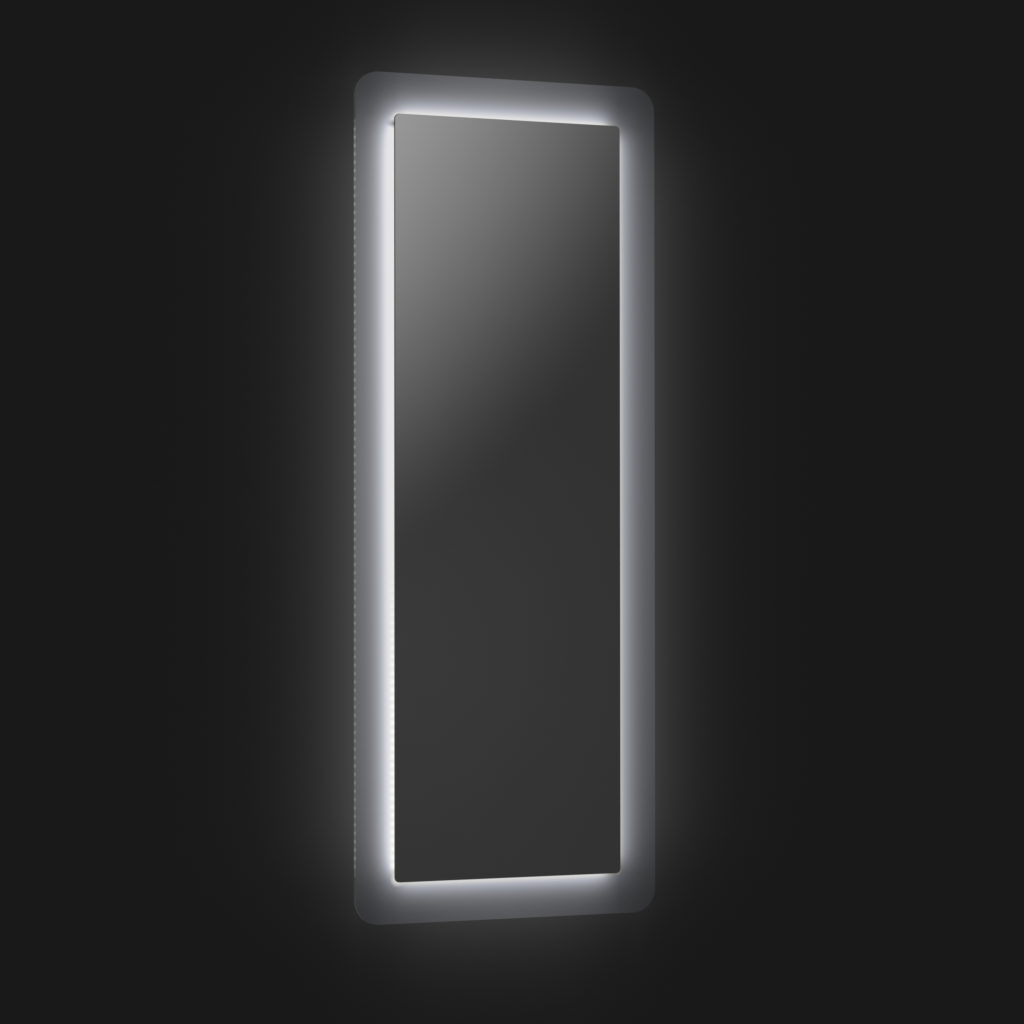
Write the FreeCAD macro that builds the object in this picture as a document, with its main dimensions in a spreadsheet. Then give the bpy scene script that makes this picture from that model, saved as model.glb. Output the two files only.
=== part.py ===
import FreeCAD, Part
import os
import Sketcher

# A wall-hung lighted mirror: a silvered pane on the front of a larger satin acrylic light frame.
# LED tapes on an aluminium chassis behind the pane shine outwards into the acrylic's inner edge.
# X runs to the right, Y into the wall and Z up. The wall is the plane Y = 0, and the origin lies
# midway between the two wall screws of the wall cleat. Sizes are in millimetres.

SIZES = {
    # outline, as seen from the front
    "overall_width": 670,
    "overall_height": 1700,
    "border_width": 82.5,  # lit border that shows round the pane
    "panel_corner_radius": 50,
    "glass_corner_radius": 10,
    "top_above_fixing": 220,  # top edge of the light frame above the wall screws
    # layers, from the wall forwards
    "panel_to_wall": 32,
    "panel_thickness": 10,
    "panel_edge_break": 0.6,
    "window_corner_radius": 2.5,
    "film_thickness": 0.3,
    "film_inset": 2,
    "glass_thickness": 5,
    "glass_arris": 0.8,
    # chassis extrusion
    "frame_overlap": 12,  # acrylic that lies hidden behind the pane
    "led_gap": 3.5,  # from the chassis web to the acrylic's lit edge
    "rail_wall": 2,
    "shelf_grip": 9,  # width of the shelf's hold on the acrylic
    "front_flange": 27,
    "rear_flange": 22,
    "key_leg": 30,
    "key_thickness": 3,
    "key_width": 12,
    "key_screw_reach": 20,
    # foam tape that bonds the pane to the chassis
    "foam_thickness": 1,
    "foam_width": 18,
    "foam_inset": 4,
    "foam_joint": 1,
    # LED tape, 60 chips to the metre
    "tape_width": 7.4,
    "tape_thickness": 0.6,
    "led_pitch": 16.667,
    "tape_end_room": 7.5,  # least room from a tape's end to the corner, for the jumper
    "chip_length": 3.5,
    "chip_width": 2.8,
    "chip_height": 0.8,
    "jumper_width": 5,
    # crossbars
    "bar_height": 40,
    "bar_depth": 20,
    "bar_wall": 2,
    "lower_bar_rise": 110,  # centre of the lower bar above the chassis' lower web
    "bar_screw_spacing": 20,
    # hanging cleats
    "cleat_wall": 2.5,
    "cleat_clearance": 0.25,
    "cleat_base": 30,
    "cleat_hook": 14,
    "cleat_hook_clear": 2,
    "cleat_end_room": 35,  # from each end of the hanging cleat to the chassis flange
    "wall_cleat_inset": 30,  # how much shorter the wall cleat is at each end
    "wall_hole_end": 20,  # centre of each wall hole from the wall cleat's end
    "wall_hole_radius": 2.75,
    "hanging_screw_end": 30,  # outer hanging screws from the hanging cleat's ends
    # pan-head screws
    "screw_radius": 1.9,
    "screw_length": 8,
    "screw_head_radius": 3.6,
    "screw_head_height": 2.2,
    "screw_clearance": 0.15,
    "frame_screw_end": 55,  # last frame screw from the end of its rail
    "frame_screw_bite": 7,  # depth of thread in the acrylic
    "frame_screw_tip": 0.5,  # room left at the bottom of each blind hole
    # gear tray
    "tray_above_centre": 250,
    "tray_height": 96,
    "tray_front_room": 4.25,  # from the tray's front to the chassis' front flange
    "tray_gap": 1,
    "tray_tab_height": 60,
    "tray_tab_end": 4,
    "tray_screw_spacing": 36,
    "sheet_wall": 1.5,
    # LED driver
    "driver_length": 180,
    "driver_height": 56,
    "driver_depth": 20,
    "driver_wall": 1.5,
    "cap_length": 8,
    "cap_lip": 5,
    "ear_length": 13,
    "ear_height": 24,
    "ear_thickness": 3,
    "ear_screw_reach": 6,
    "board_standoff": 3,
    "board_thickness": 1.6,
    "transformer_side": 26,
    "transformer_height": 11,
    "capacitor_radius": 6,
    "capacitor_height": 10,
    "capacitor_spacing": 30,
    # terminal box
    "box_length": 86,
    "box_height": 62,
    "box_depth": 22,
    "box_wall": 2,
    "lid_thickness": 2,
    "boss_radius": 4.5,
    "block_length": 34,
    "block_height": 18,
    "block_depth": 14,
    "pole_spacing": 10,
    "pole_radius": 2.2,
    "pole_depth": 5,
    "grommet_bore": 3.6,
    "grommet_neck": 6,
    "grommet_flange": 8,
    "grommet_lip": 1.5,
    "grommet_rise": 17,  # cable entry above the box's centre
    # leads
    "lead_radius": 1.6,
    "lead_standoff": 6,  # lead's centre line from the chassis web
    "lead_bend": 5,
    "lead_forward": 3.5,  # lead's centre line behind the front flange
    "feed_below_end": 20,  # feed point below the upper end of the left LED tape
    "ring_radius": 2.6,
    "ring_flange": 3.2,
    "ring_lip": 0.8,
    "clip_width": 8,
    "clip_wall": 1.2,
    # wall feet
    "foot_inset": 75,  # centre of each foot from the chassis' inner face
    "stem_radius": 3,
    "stem_clearance": 0.05,
    "stem_length": 18,
    "insert_radius": 4.5,
    "insert_length": 11,
    "insert_flange": 6,
    "insert_lip": 1,
    "wheel_radius": 10,
    "wheel_width": 3.3,
    "wheel_notch": 0.9,
    "wheel_notches": 24,
    "pad_radius": 11,
    "pad_thickness": 3.6,
    "pin_radius": 2,
    "pin_length": 2.4,
    # fits
    "fit_gap": 0.3,  # between pieces that only need room
    "seat_gap": 0.1,  # between round pieces that sit in a hole
    "cut_margin": 1,  # how far a cutting shape runs past the solid
}

doc = FreeCAD.newDocument("LightedMirror")
sheet = doc.addObject("Spreadsheet::Sheet", "dim")
for row, (alias, number) in enumerate(SIZES.items(), start=1):
    sheet.set(f"A{row}", alias)
    sheet.set(f"B{row}", str(number))
    sheet.setAlias(f"B{row}", alias)
doc.recompute()

# Places that several pieces share, written as expressions of the sheet.
MIRROR_W = "(dim.overall_width - 2 * dim.border_width)"
MIRROR_H = "(dim.overall_height - 2 * dim.border_width)"
CENTRE_Z = "(dim.top_above_fixing - dim.overall_height / 2)"
PANEL_BACK = "(-dim.panel_to_wall)"
PANEL_FRONT = "(-dim.panel_to_wall - dim.panel_thickness)"
GLASS_BACK = f"({PANEL_FRONT} - dim.film_thickness)"
WINDOW_X = f"({MIRROR_W} / 2 - dim.frame_overlap)"
WINDOW_Z = f"({MIRROR_H} / 2 - dim.frame_overlap)"
WEB_X = f"({WINDOW_X} - dim.led_gap)"  # outer faces of the chassis webs
WEB_Z = f"({WINDOW_Z} - dim.led_gap)"
INNER_X = f"({WEB_X} - dim.rail_wall)"
INNER_Z = f"({WEB_Z} - dim.rail_wall)"
RAIL_FRONT = f"({PANEL_FRONT} + dim.foam_thickness)"
SHELF_BACK = f"({PANEL_BACK} + dim.rail_wall)"
SHELF_OUT = "(dim.led_gap + dim.shelf_grip)"
SCREW_OUT = "(dim.led_gap + dim.shelf_grip / 2)"
HANG_DEPTH = "(4 * dim.cleat_wall + 3 * dim.cleat_clearance)"
FLANGE_FRONT = f"(-{HANG_DEPTH})"
FLANGE_BACK = f"(-{HANG_DEPTH} + dim.rail_wall)"
FLANGE_MID_X = f"({WEB_X} - (dim.rail_wall + dim.rear_flange) / 2)"
KEY_Y = f"(({SHELF_BACK} + {FLANGE_FRONT}) / 2)"
TAPE_Y = f"({PANEL_BACK} - dim.panel_thickness / 2)"
HOOK_TOP = "(dim.cleat_base / 2 + dim.cleat_hook)"
UPPER_BAR_Z = f"({HOOK_TOP} + dim.cleat_base / 2)"
LOWER_BAR_Z = f"({CENTRE_Z} - {WEB_Z} + dim.lower_bar_rise)"
HANGING_SCREW_Z = f"({HOOK_TOP} + (dim.cleat_base + dim.cleat_wall) / 2)"
SCREW_HOLE = "(dim.screw_radius + dim.screw_clearance)"
LEDS_TALL = f"floor(2 * ({WEB_Z} - dim.tape_end_room) / dim.led_pitch)"  # whole pitches that fit
LEDS_WIDE = f"floor(2 * ({WEB_X} - dim.tape_end_room) / dim.led_pitch)"
TAPE_END_Z = f"({LEDS_TALL} * dim.led_pitch / 2)"
TAPE_END_X = f"({LEDS_WIDE} * dim.led_pitch / 2)"
TRAY_Z = f"({CENTRE_Z} + dim.tray_above_centre)"
TRAY_X = f"({WEB_X} - dim.rear_flange - dim.tray_gap)"
TRAY_FRONT = f"({RAIL_FRONT} + dim.rail_wall + dim.tray_front_room)"
TRAY_FLOOR = f"({TRAY_FRONT} + dim.sheet_wall)"
TRAY_BACK = f"({FLANGE_BACK} + dim.sheet_wall)"
TRAY_ROOM_X = f"({TRAY_X} - dim.sheet_wall)"
DRIVER_REACH = "(dim.driver_length / 2 + dim.cap_length + dim.ear_length)"  # to the end of an ear
GEAR_GAP = f"((2 * {TRAY_ROOM_X} - 2 * {DRIVER_REACH} - dim.box_length) / 3)"  # three even gaps
DRIVER_X = f"({GEAR_GAP} + {DRIVER_REACH} - {TRAY_ROOM_X})"
BOX_X = f"({TRAY_ROOM_X} - {GEAR_GAP} - dim.box_length / 2)"
LEAD_Y = f"({TRAY_FLOOR} + dim.driver_depth / 2)"
HANGING_CLEAT_END = f"({WEB_X} - dim.rear_flange - dim.cleat_end_room)"
WALL_CLEAT_END = f"({HANGING_CLEAT_END} - dim.wall_cleat_inset)"

UP = FreeCAD.Vector(0, 0, 1)
ACROSS = FreeCAD.Vector(1, 0, 0)
INTO_WALL = FreeCAD.Vector(0, 1, 0)
FORWARDS = FreeCAD.Vector(0, -1, 0)

parts = []


def value(expression):
    """The present number of an expression."""
    return float(sheet.evalExpression(expression))


def keep(solid, label):
    """Names a finished sub-part."""
    solid.Label = label
    parts.append(solid)
    return solid


def tie(solid, place):
    """Binds an object's position to three expressions."""
    for axis, expression in zip("xyz", place):
        solid.setExpression(f"Placement.Base.{axis}", expression)


def minus(expression):
    return f"-({expression})"


def plus(*terms):
    return " + ".join(f"({term})" for term in terms)


def about(middle, half):
    """A span that reaches half to each side of the middle."""
    return (f"({middle}) - ({half})", f"({middle}) + ({half})")


def on_hand(span, hand, middle="0"):
    """A span measured outwards from the middle, on the plus or the minus hand."""
    low, high = span
    if hand > 0:
        return (f"({middle}) + ({low})", f"({middle}) + ({high})")
    return (f"({middle}) - ({high})", f"({middle}) - ({low})")


# Part primitives and booleans


def block(name, x, y, z):
    """A box; each span is a pair of expressions, low and high."""
    solid = doc.addObject("Part::Box", name)
    for prop, (low, high) in zip(("Length", "Width", "Height"), (x, y, z)):
        solid.setExpression(prop, f"({high}) - ({low})")
    tie(solid, (x[0], y[0], z[0]))
    return solid


def rod(name, radius, length, start, direction):
    """A cylinder that leaves its start along the direction."""
    solid = doc.addObject("Part::Cylinder", name)
    solid.Placement = FreeCAD.Placement(FreeCAD.Vector(), FreeCAD.Rotation(UP, direction))
    solid.setExpression("Radius", radius)
    solid.setExpression("Height", length)
    tie(solid, start)
    return solid


def fuse(name, solids):
    joined = doc.addObject("Part::MultiFuse", name)
    joined.Shapes = solids
    joined.Refine = True
    return joined


def cut(name, base, tools):
    trimmed = doc.addObject("Part::Cut", name)
    trimmed.Base = base
    trimmed.Tool = tools[0] if len(tools) == 1 else fuse(name + "_tools", tools)
    trimmed.Refine = True
    return trimmed


def group(label, solids):
    """Separate like solids that share one node."""
    gathered = doc.addObject("Part::Compound", label)
    gathered.Links = solids
    return keep(gathered, label)


def screw(name, seat, direction, length="dim.screw_length"):
    """A pan-head screw whose head sits on the seat and whose shank runs along the direction."""
    shank = rod(name + "_shank", "dim.screw_radius", length, seat, direction)
    head = rod(name + "_head", "dim.screw_head_radius", "dim.screw_head_height", seat, -direction)
    return fuse(name, [shank, head])


# PartDesign bodies, sketches and features


def new_body(label):
    return keep(doc.addObject("PartDesign::Body", label), label)


def origin_feature(body, role):
    return next(feature for feature in body.Origin.OriginFeatures if feature.Role == role)


def sketch_on(body, role, name):
    sketch = body.newObject("Sketcher::SketchObject", name)
    sketch.AttachmentSupport = (origin_feature(body, role), [""])
    sketch.MapMode = "FlatFace"
    return sketch


def bind(sketch, constraint, expression):
    index = sketch.addConstraint(constraint)
    sketch.setExpression(f"Constraints[{index}]", expression)


def pin_point(sketch, geometry, point, place):
    """Ties both coordinates of a point to expressions."""
    for kind, expression in zip(("DistanceX", "DistanceY"), place):
        constraint = Sketcher.Constraint(kind, -1, 1, geometry, point, value(expression))
        bind(sketch, constraint, expression)


def polygon(body, role, name, corners):
    """A closed outline; each corner is a pair of expressions in the plane."""
    sketch = sketch_on(body, role, name)
    spots = [FreeCAD.Vector(value(a), value(b), 0) for a, b in corners]
    following = spots[1:] + spots[:1]
    for spot, next_spot in zip(spots, following):
        sketch.addGeometry(Part.LineSegment(spot, next_spot), False)
    for side in range(len(spots)):
        joined = Sketcher.Constraint("Coincident", side, 2, (side + 1) % len(spots), 1)
        sketch.addConstraint(joined)
    for side, corner in enumerate(corners):
        pin_point(sketch, side, 1, corner)
    return sketch


def rectangle(body, role, name, across, along):
    """An outline between two spans of the plane."""
    (left, right), (low, high) = across, along
    corners = [(left, low), (right, low), (right, high), (left, high)]
    return polygon(body, role, name, corners)


def circles(body, role, name, centres, radius):
    """Equal circles; each centre is a pair of expressions in the plane."""
    sketch = sketch_on(body, role, name)
    for index, (a, b) in enumerate(centres):
        spot = FreeCAD.Vector(value(a), value(b), 0)
        sketch.addGeometry(Part.Circle(spot, UP, value(radius)), False)
        pin_point(sketch, index, 3, (a, b))
        bind(sketch, Sketcher.Constraint("Radius", index, value(radius)), radius)
    return sketch


def pad(body, sketch, length, symmetric=False):
    feature = body.newObject("PartDesign::Pad", sketch.Name + "_pad")
    feature.Profile = sketch
    feature.SideType = "Symmetric" if symmetric else "One side"
    feature.setExpression("Length", length)
    doc.recompute()
    return feature


def pocket(body, sketch, length=None):
    """A cut through everything, or one that goes to a depth from the wall plane forwards."""
    before = body.Shape.Volume
    feature = body.newObject("PartDesign::Pocket", sketch.Name + "_cut")
    feature.Profile = sketch
    if length is None:
        feature.SideType = "Symmetric"
        feature.Type = "ThroughAll"
    else:
        feature.Reversed = True
        feature.setExpression("Length", length)
    doc.recompute()
    if body.Shape.Volume >= before:
        raise RuntimeError(f"{feature.Name} cuts nothing")
    return feature


def revolve(body, sketch):
    """A full turn about the body's Y axis."""
    feature = body.newObject("PartDesign::Revolution", sketch.Name + "_turn")
    feature.Profile = sketch
    feature.ReferenceAxis = (origin_feature(body, "Y_Axis"), [""])
    doc.recompute()
    return feature


def edge_names(feature, wanted):
    """Names of the edges of a feature for which the test holds."""
    return [f"Edge{i}" for i, edge in enumerate(feature.Shape.Edges, start=1) if wanted(edge)]


def runs_deep(edge):
    """Whether an edge is straight and runs along Y."""
    box = edge.BoundBox
    return box.YLength > box.XLength + box.ZLength


def lies_flat(edge):
    """Whether an edge lies in a plane parallel to the wall."""
    return not runs_deep(edge)


def lies_in_front(edge):
    """Whether an edge lies on the front face of a plate drawn from the wall plane forwards."""
    return lies_flat(edge) and edge.BoundBox.YMax < 0


def is_window_corner(edge):
    """Whether an edge is one of the sharp inner corners of the light frame's window."""
    return runs_deep(edge) and abs(edge.BoundBox.Center.x) < value(WINDOW_X) + value("dim.cut_margin")


def fillet(body, base, wanted, radius):
    feature = body.newObject("PartDesign::Fillet", base.Name + "_round")
    feature.Base = (base, edge_names(base, wanted))
    feature.setExpression("Radius", radius)
    doc.recompute()
    return feature


def chamfer(body, base, wanted, size):
    feature = body.newObject("PartDesign::Chamfer", base.Name + "_break")
    feature.Base = (base, edge_names(base, wanted))
    feature.setExpression("Size", size)
    doc.recompute()
    return feature


# The four sides of the chassis: turn about Y, X and Z of the web's middle, half the web's length
# and the number of LEDs. On each side a piece is drawn with X along the rail and -Z outwards from
# the web, then turned into its place.
SIDES = {
    "left": (90, minus(WEB_X), CENTRE_Z, WEB_Z, LEDS_TALL),
    "right": (-90, WEB_X, CENTRE_Z, WEB_Z, LEDS_TALL),
    "top": (180, "0", plus(CENTRE_Z, WEB_Z), WEB_X, LEDS_WIDE),
    "bottom": (0, "0", plus(CENTRE_Z, minus(WEB_Z)), WEB_X, LEDS_WIDE),
}
# Frame screws along each rail, as shares of the stretch between its two end screws.
FRAME_SCREW_STEPS = {
    "left": (-1, -0.5, 0, 0.5, 1),
    "right": (-1, -0.5, 0, 0.5, 1),
    "top": (-1, 0, 1),
    "bottom": (-1, 0, 1),
}


def side_body(label, side):
    """A body whose own frame lies on one side of the chassis."""
    turn, x, z = SIDES[side][:3]
    body = new_body(label)
    body.Placement = FreeCAD.Placement(FreeCAD.Vector(), FreeCAD.Rotation(INTO_WALL, turn))
    tie(body, (x, "0", z))
    return body


def on_side(side, along, out):
    """World X and Z of a place given along a rail and outwards from its web."""
    if side == "left":
        return (minus(plus(WEB_X, out)), plus(CENTRE_Z, minus(along)))
    if side == "right":
        return (plus(WEB_X, out), plus(CENTRE_Z, along))
    if side == "top":
        return (minus(along), plus(CENTRE_Z, WEB_Z, out))
    return (along, plus(CENTRE_Z, minus(plus(WEB_Z, out))))


def frame_screw_places(side):
    """Distances along a rail of the screws that hold the acrylic."""
    half_run = SIDES[side][3]
    return [f"{step} * ({half_run} - dim.frame_screw_end)" for step in FRAME_SCREW_STEPS[side]]


# Mirror pane with rounded corners and a ground arris, and the safety film on its back.
glass = new_body("mirror_glass")
tie(glass, ("0", GLASS_BACK, CENTRE_Z))
outline = rectangle(
    glass, "XZ_Plane", "glass_outline", about("0", f"{MIRROR_W} / 2"), about("0", f"{MIRROR_H} / 2")
)
glass_plate = pad(glass, outline, "dim.glass_thickness")
glass_plate = fillet(glass, glass_plate, runs_deep, "dim.glass_corner_radius")
chamfer(glass, glass_plate, lies_in_front, "dim.glass_arris")

film = new_body("backing_film")
tie(film, ("0", PANEL_FRONT, CENTRE_Z))
outline = rectangle(
    film,
    "XZ_Plane",
    "film_outline",
    about("0", f"{MIRROR_W} / 2 - dim.film_inset"),
    about("0", f"{MIRROR_H} / 2 - dim.film_inset"),
)
film_sheet = pad(film, outline, "dim.film_thickness")
fillet(film, film_sheet, runs_deep, "dim.glass_corner_radius - dim.film_inset")

# Acrylic light frame: one plate with rounded corners and a window behind the pane.
panel = new_body("light_frame")
tie(panel, ("0", PANEL_BACK, CENTRE_Z))
outline = rectangle(
    panel,
    "XZ_Plane",
    "panel_outline",
    about("0", "dim.overall_width / 2"),
    about("0", "dim.overall_height / 2"),
)
plate = pad(panel, outline, "dim.panel_thickness")
plate = fillet(panel, plate, runs_deep, "dim.panel_corner_radius")
plate = chamfer(panel, plate, lies_flat, "dim.panel_edge_break")
window = rectangle(panel, "XZ_Plane", "panel_window", about("0", WINDOW_X), about("0", WINDOW_Z))
plate = pocket(panel, window)
fillet(panel, plate, is_window_corner, "dim.window_corner_radius")
screw_holes = [
    (x, f"({z}) - {CENTRE_Z}")
    for side in SIDES
    for x, z in (on_side(side, along, SCREW_OUT) for along in frame_screw_places(side))
]
holes = circles(panel, "XZ_Plane", "panel_screw_holes", screw_holes, SCREW_HOLE)
pocket(panel, holes, "dim.frame_screw_bite + dim.frame_screw_tip")

# Chassis rails: one extrusion, mitred, with a shelf outside for the acrylic and flanges inside.
RAIL_SECTION = [
    (RAIL_FRONT, "0"),
    (PANEL_BACK, "0"),
    (PANEL_BACK, minus(SHELF_OUT)),
    (SHELF_BACK, minus(SHELF_OUT)),
    (SHELF_BACK, "0"),
    (FLANGE_BACK, "0"),
    (FLANGE_BACK, "dim.rear_flange"),
    (FLANGE_FRONT, "dim.rear_flange"),
    (FLANGE_FRONT, "dim.rail_wall"),
    (f"{RAIL_FRONT} + dim.rail_wall", "dim.rail_wall"),
    (f"{RAIL_FRONT} + dim.rail_wall", "dim.front_flange"),
    (RAIL_FRONT, "dim.front_flange"),
]
FEED_Z = f"({CENTRE_Z} + {TAPE_END_Z} - dim.feed_below_end)"
FEED_Y = f"({RAIL_FRONT} + dim.rail_wall + dim.lead_forward)"
BAR_SCREW_HEIGHTS = [
    plus(height, offset)
    for height in (UPPER_BAR_Z, LOWER_BAR_Z)
    for offset in ("-dim.bar_screw_spacing / 2", "dim.bar_screw_spacing / 2")
]
TRAY_SCREW_HEIGHTS = about(TRAY_Z, "dim.tray_screw_spacing / 2")


def mitre(body, half_run, hand):
    """Cuts one end of a rail at 45 degrees; hand is -1 or 1 along the rail."""
    outer = plus(half_run, SHELF_OUT, "dim.cut_margin")
    low = minus(plus(SHELF_OUT, "dim.cut_margin"))
    high = "dim.front_flange + dim.cut_margin"
    inner = plus(half_run, minus(high))
    corners = [(f"{hand} * ({outer})", low), (f"{hand} * ({outer})", high), (f"{hand} * ({inner})", high)]
    name = f"{body.Name}_mitre_{'end' if hand > 0 else 'start'}"
    pocket(body, polygon(body, "XZ_Plane", name, corners))


def chassis_rail(side):
    label = f"chassis_{side}"
    half_run = SIDES[side][3]
    body = side_body(label, side)
    section = polygon(body, "YZ_Plane", label + "_section", RAIL_SECTION)
    pad(body, section, f"2 * ({half_run} + {SHELF_OUT})", symmetric=True)
    mitre(body, half_run, -1)
    mitre(body, half_run, 1)
    shelf_holes = [(along, minus(SCREW_OUT)) for along in frame_screw_places(side)]
    pocket(body, circles(body, "XZ_Plane", label + "_shelf_holes", shelf_holes, SCREW_HOLE))
    key_screw = f"({half_run} - dim.rail_wall - dim.key_screw_reach)"
    key_holes = [(minus(key_screw), KEY_Y), (key_screw, KEY_Y)]
    pocket(body, circles(body, "XY_Plane", label + "_key_holes", key_holes, SCREW_HOLE))
    if side in ("left", "right"):
        hand = "-1" if side == "left" else "1"
        flange_mid = "(dim.rail_wall + dim.rear_flange) / 2"
        heights = [*BAR_SCREW_HEIGHTS, *TRAY_SCREW_HEIGHTS]
        flange_holes = [(f"{hand} * (({height}) - {CENTRE_Z})", flange_mid) for height in heights]
        holes = circles(body, "XZ_Plane", label + "_flange_holes", flange_holes, SCREW_HOLE)
        pocket(body, holes, f"{HANG_DEPTH} + dim.cut_margin")
    if side == "left":
        feed = [(f"{CENTRE_Z} - {FEED_Z}", FEED_Y)]
        feed_hole = circles(
            body, "XY_Plane", label + "_feed_hole", feed, "dim.ring_radius + dim.seat_gap"
        )
        pocket(body, feed_hole)


for side in SIDES:
    chassis_rail(side)

group(
    "frame_screws",
    [
        screw(
            f"frame_screw_{side}_{index}",
            (place[0], SHELF_BACK, place[1]),
            FORWARDS,
            "dim.rail_wall + dim.frame_screw_bite",
        )
        for side in SIDES
        for index, place in enumerate(
            on_side(side, along, SCREW_OUT) for along in frame_screw_places(side)
        )
    ],
)

# Corner keys lie against the webs inside each mitre, with one screw through each leg.
corner_keys = []
key_screws = []
for hand_x in (-1, 1):
    for hand_z in (-1, 1):
        corner = f"{'left' if hand_x < 0 else 'right'}_{'lower' if hand_z < 0 else 'upper'}"
        key_depth = about(KEY_Y, "dim.key_width / 2")
        upright = block(
            f"key_upright_{corner}",
            on_hand((f"{INNER_X} - dim.key_thickness", INNER_X), hand_x),
            key_depth,
            on_hand((f"{INNER_Z} - dim.key_leg", INNER_Z), hand_z, CENTRE_Z),
        )
        level = block(
            f"key_level_{corner}",
            on_hand((f"{INNER_X} - dim.key_leg", INNER_X), hand_x),
            key_depth,
            on_hand((f"{INNER_Z} - dim.key_thickness", INNER_Z), hand_z, CENTRE_Z),
        )
        upright_seat = (
            f"{hand_x} * ({INNER_X} - dim.key_thickness)",
            KEY_Y,
            f"{CENTRE_Z} + {hand_z} * ({INNER_Z} - dim.key_screw_reach)",
        )
        level_seat = (
            f"{hand_x} * ({INNER_X} - dim.key_screw_reach)",
            KEY_Y,
            f"{CENTRE_Z} + {hand_z} * ({INNER_Z} - dim.key_thickness)",
        )
        holes = [
            rod(f"key_hole_{way}_{corner}", SCREW_HOLE, "dim.key_thickness", seat, direction)
            for way, seat, direction in (
                ("upright", upright_seat, ACROSS * hand_x),
                ("level", level_seat, UP * hand_z),
            )
        ]
        corner_keys.append(
            cut(f"corner_key_{corner}", fuse(f"key_legs_{corner}", [upright, level]), holes)
        )
        key_grip = "dim.key_thickness + dim.rail_wall"
        key_screws.append(
            screw(f"key_screw_upright_{corner}", upright_seat, ACROSS * hand_x, key_grip)
        )
        key_screws.append(screw(f"key_screw_level_{corner}", level_seat, UP * hand_z, key_grip))
group("corner_keys", corner_keys)
group("corner_key_screws", key_screws)

# Foam tape between the front flanges and the film.
foam_depth = (PANEL_FRONT, RAIL_FRONT)
foam_outer_x = f"({WEB_X} - dim.foam_inset)"
foam_outer_z = f"({WEB_Z} - dim.foam_inset)"
foam_strips = []
for hand in (-1, 1):
    which = "minus" if hand < 0 else "plus"
    foam_strips.append(
        block(
            f"foam_upright_{which}",
            on_hand((f"{foam_outer_x} - dim.foam_width", foam_outer_x), hand),
            foam_depth,
            about(CENTRE_Z, foam_outer_z),
        )
    )
    foam_strips.append(
        block(
            f"foam_level_{which}",
            about("0", f"{foam_outer_x} - dim.foam_width - dim.foam_joint"),
            foam_depth,
            on_hand((f"{foam_outer_z} - dim.foam_width", foam_outer_z), hand, CENTRE_Z),
        )
    )
group("mounting_tape", foam_strips)

# LED tapes on the outer faces of the webs, level with the middle of the acrylic's edge.
for side in SIDES:
    count = SIDES[side][4]
    tape = side_body(f"led_tape_{side}", side)
    section = rectangle(
        tape,
        "YZ_Plane",
        f"tape_section_{side}",
        about(TAPE_Y, "dim.tape_width / 2"),
        ("-dim.tape_thickness", "0"),
    )
    pad(tape, section, f"{count} * dim.led_pitch", symmetric=True)

    chips = side_body(f"led_chips_{side}", side)
    section = rectangle(
        chips,
        "YZ_Plane",
        f"chip_section_{side}",
        about(TAPE_Y, "dim.chip_width / 2"),
        ("-dim.tape_thickness - dim.chip_height", "-dim.tape_thickness"),
    )
    section.setExpression("AttachmentOffset.Base.z", f"-({count} - 1) * dim.led_pitch / 2")
    first_chip = pad(chips, section, "dim.chip_length", symmetric=True)
    chip_row = chips.newObject("PartDesign::LinearPattern", f"chip_row_{side}")
    chip_row.Originals = [first_chip]
    chip_row.Direction = (origin_feature(chips, "X_Axis"), [""])
    chip_row.setExpression("Length", f"({count} - 1) * dim.led_pitch")
    chip_row.setExpression("Occurrences", count)
    chips.Tip = chip_row

# Flat jumpers carry the supply round three corners from tape to tape.
jumpers = []
for hand_x, hand_z in ((-1, 1), (1, 1), (-1, -1)):
    corner = f"{'left' if hand_x < 0 else 'right'}_{'lower' if hand_z < 0 else 'upper'}"
    jumper_depth = about(TAPE_Y, "dim.jumper_width / 2")
    upright = block(
        f"jumper_upright_{corner}",
        on_hand((WEB_X, f"{WEB_X} + dim.tape_thickness"), hand_x),
        jumper_depth,
        on_hand((TAPE_END_Z, f"{WEB_Z} + dim.tape_thickness"), hand_z, CENTRE_Z),
    )
    level = block(
        f"jumper_level_{corner}",
        on_hand((TAPE_END_X, f"{WEB_X} + dim.tape_thickness"), hand_x),
        jumper_depth,
        on_hand((WEB_Z, f"{WEB_Z} + dim.tape_thickness"), hand_z, CENTRE_Z),
    )
    jumpers.append(fuse(f"jumper_{corner}", [upright, level]))
group("corner_jumpers", jumpers)

# Crossbars: rectangular tube, clamped against the front of the rear flanges.
BAR_DEPTH = (f"{FLANGE_FRONT} - dim.bar_depth", FLANGE_FRONT)
BAR_END = f"({INNER_X} - dim.fit_gap)"


def crossbar(label, height, rear_holes):
    """A tube across the chassis; rear_holes lists X, Z and radius of further holes in its rear wall."""
    tube = block(label + "_tube", about("0", BAR_END), BAR_DEPTH, about(height, "dim.bar_height / 2"))
    bore = block(
        label + "_bore",
        about("0", f"{BAR_END} + dim.cut_margin"),
        (f"{BAR_DEPTH[0]} + dim.bar_wall", f"{BAR_DEPTH[1]} - dim.bar_wall"),
        about(height, "dim.bar_height / 2 - dim.bar_wall"),
    )
    places = [
        (f"{hand} * {FLANGE_MID_X}", z, SCREW_HOLE)
        for hand in (-1, 1)
        for z in about(height, "dim.bar_screw_spacing / 2")
    ]
    places += rear_holes
    holes = [
        rod(f"{label}_hole_{index}", radius, "dim.bar_wall", (x, FLANGE_FRONT, z), FORWARDS)
        for index, (x, z, radius) in enumerate(places)
    ]
    keep(cut(label, tube, [bore, *holes]), label)


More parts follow.
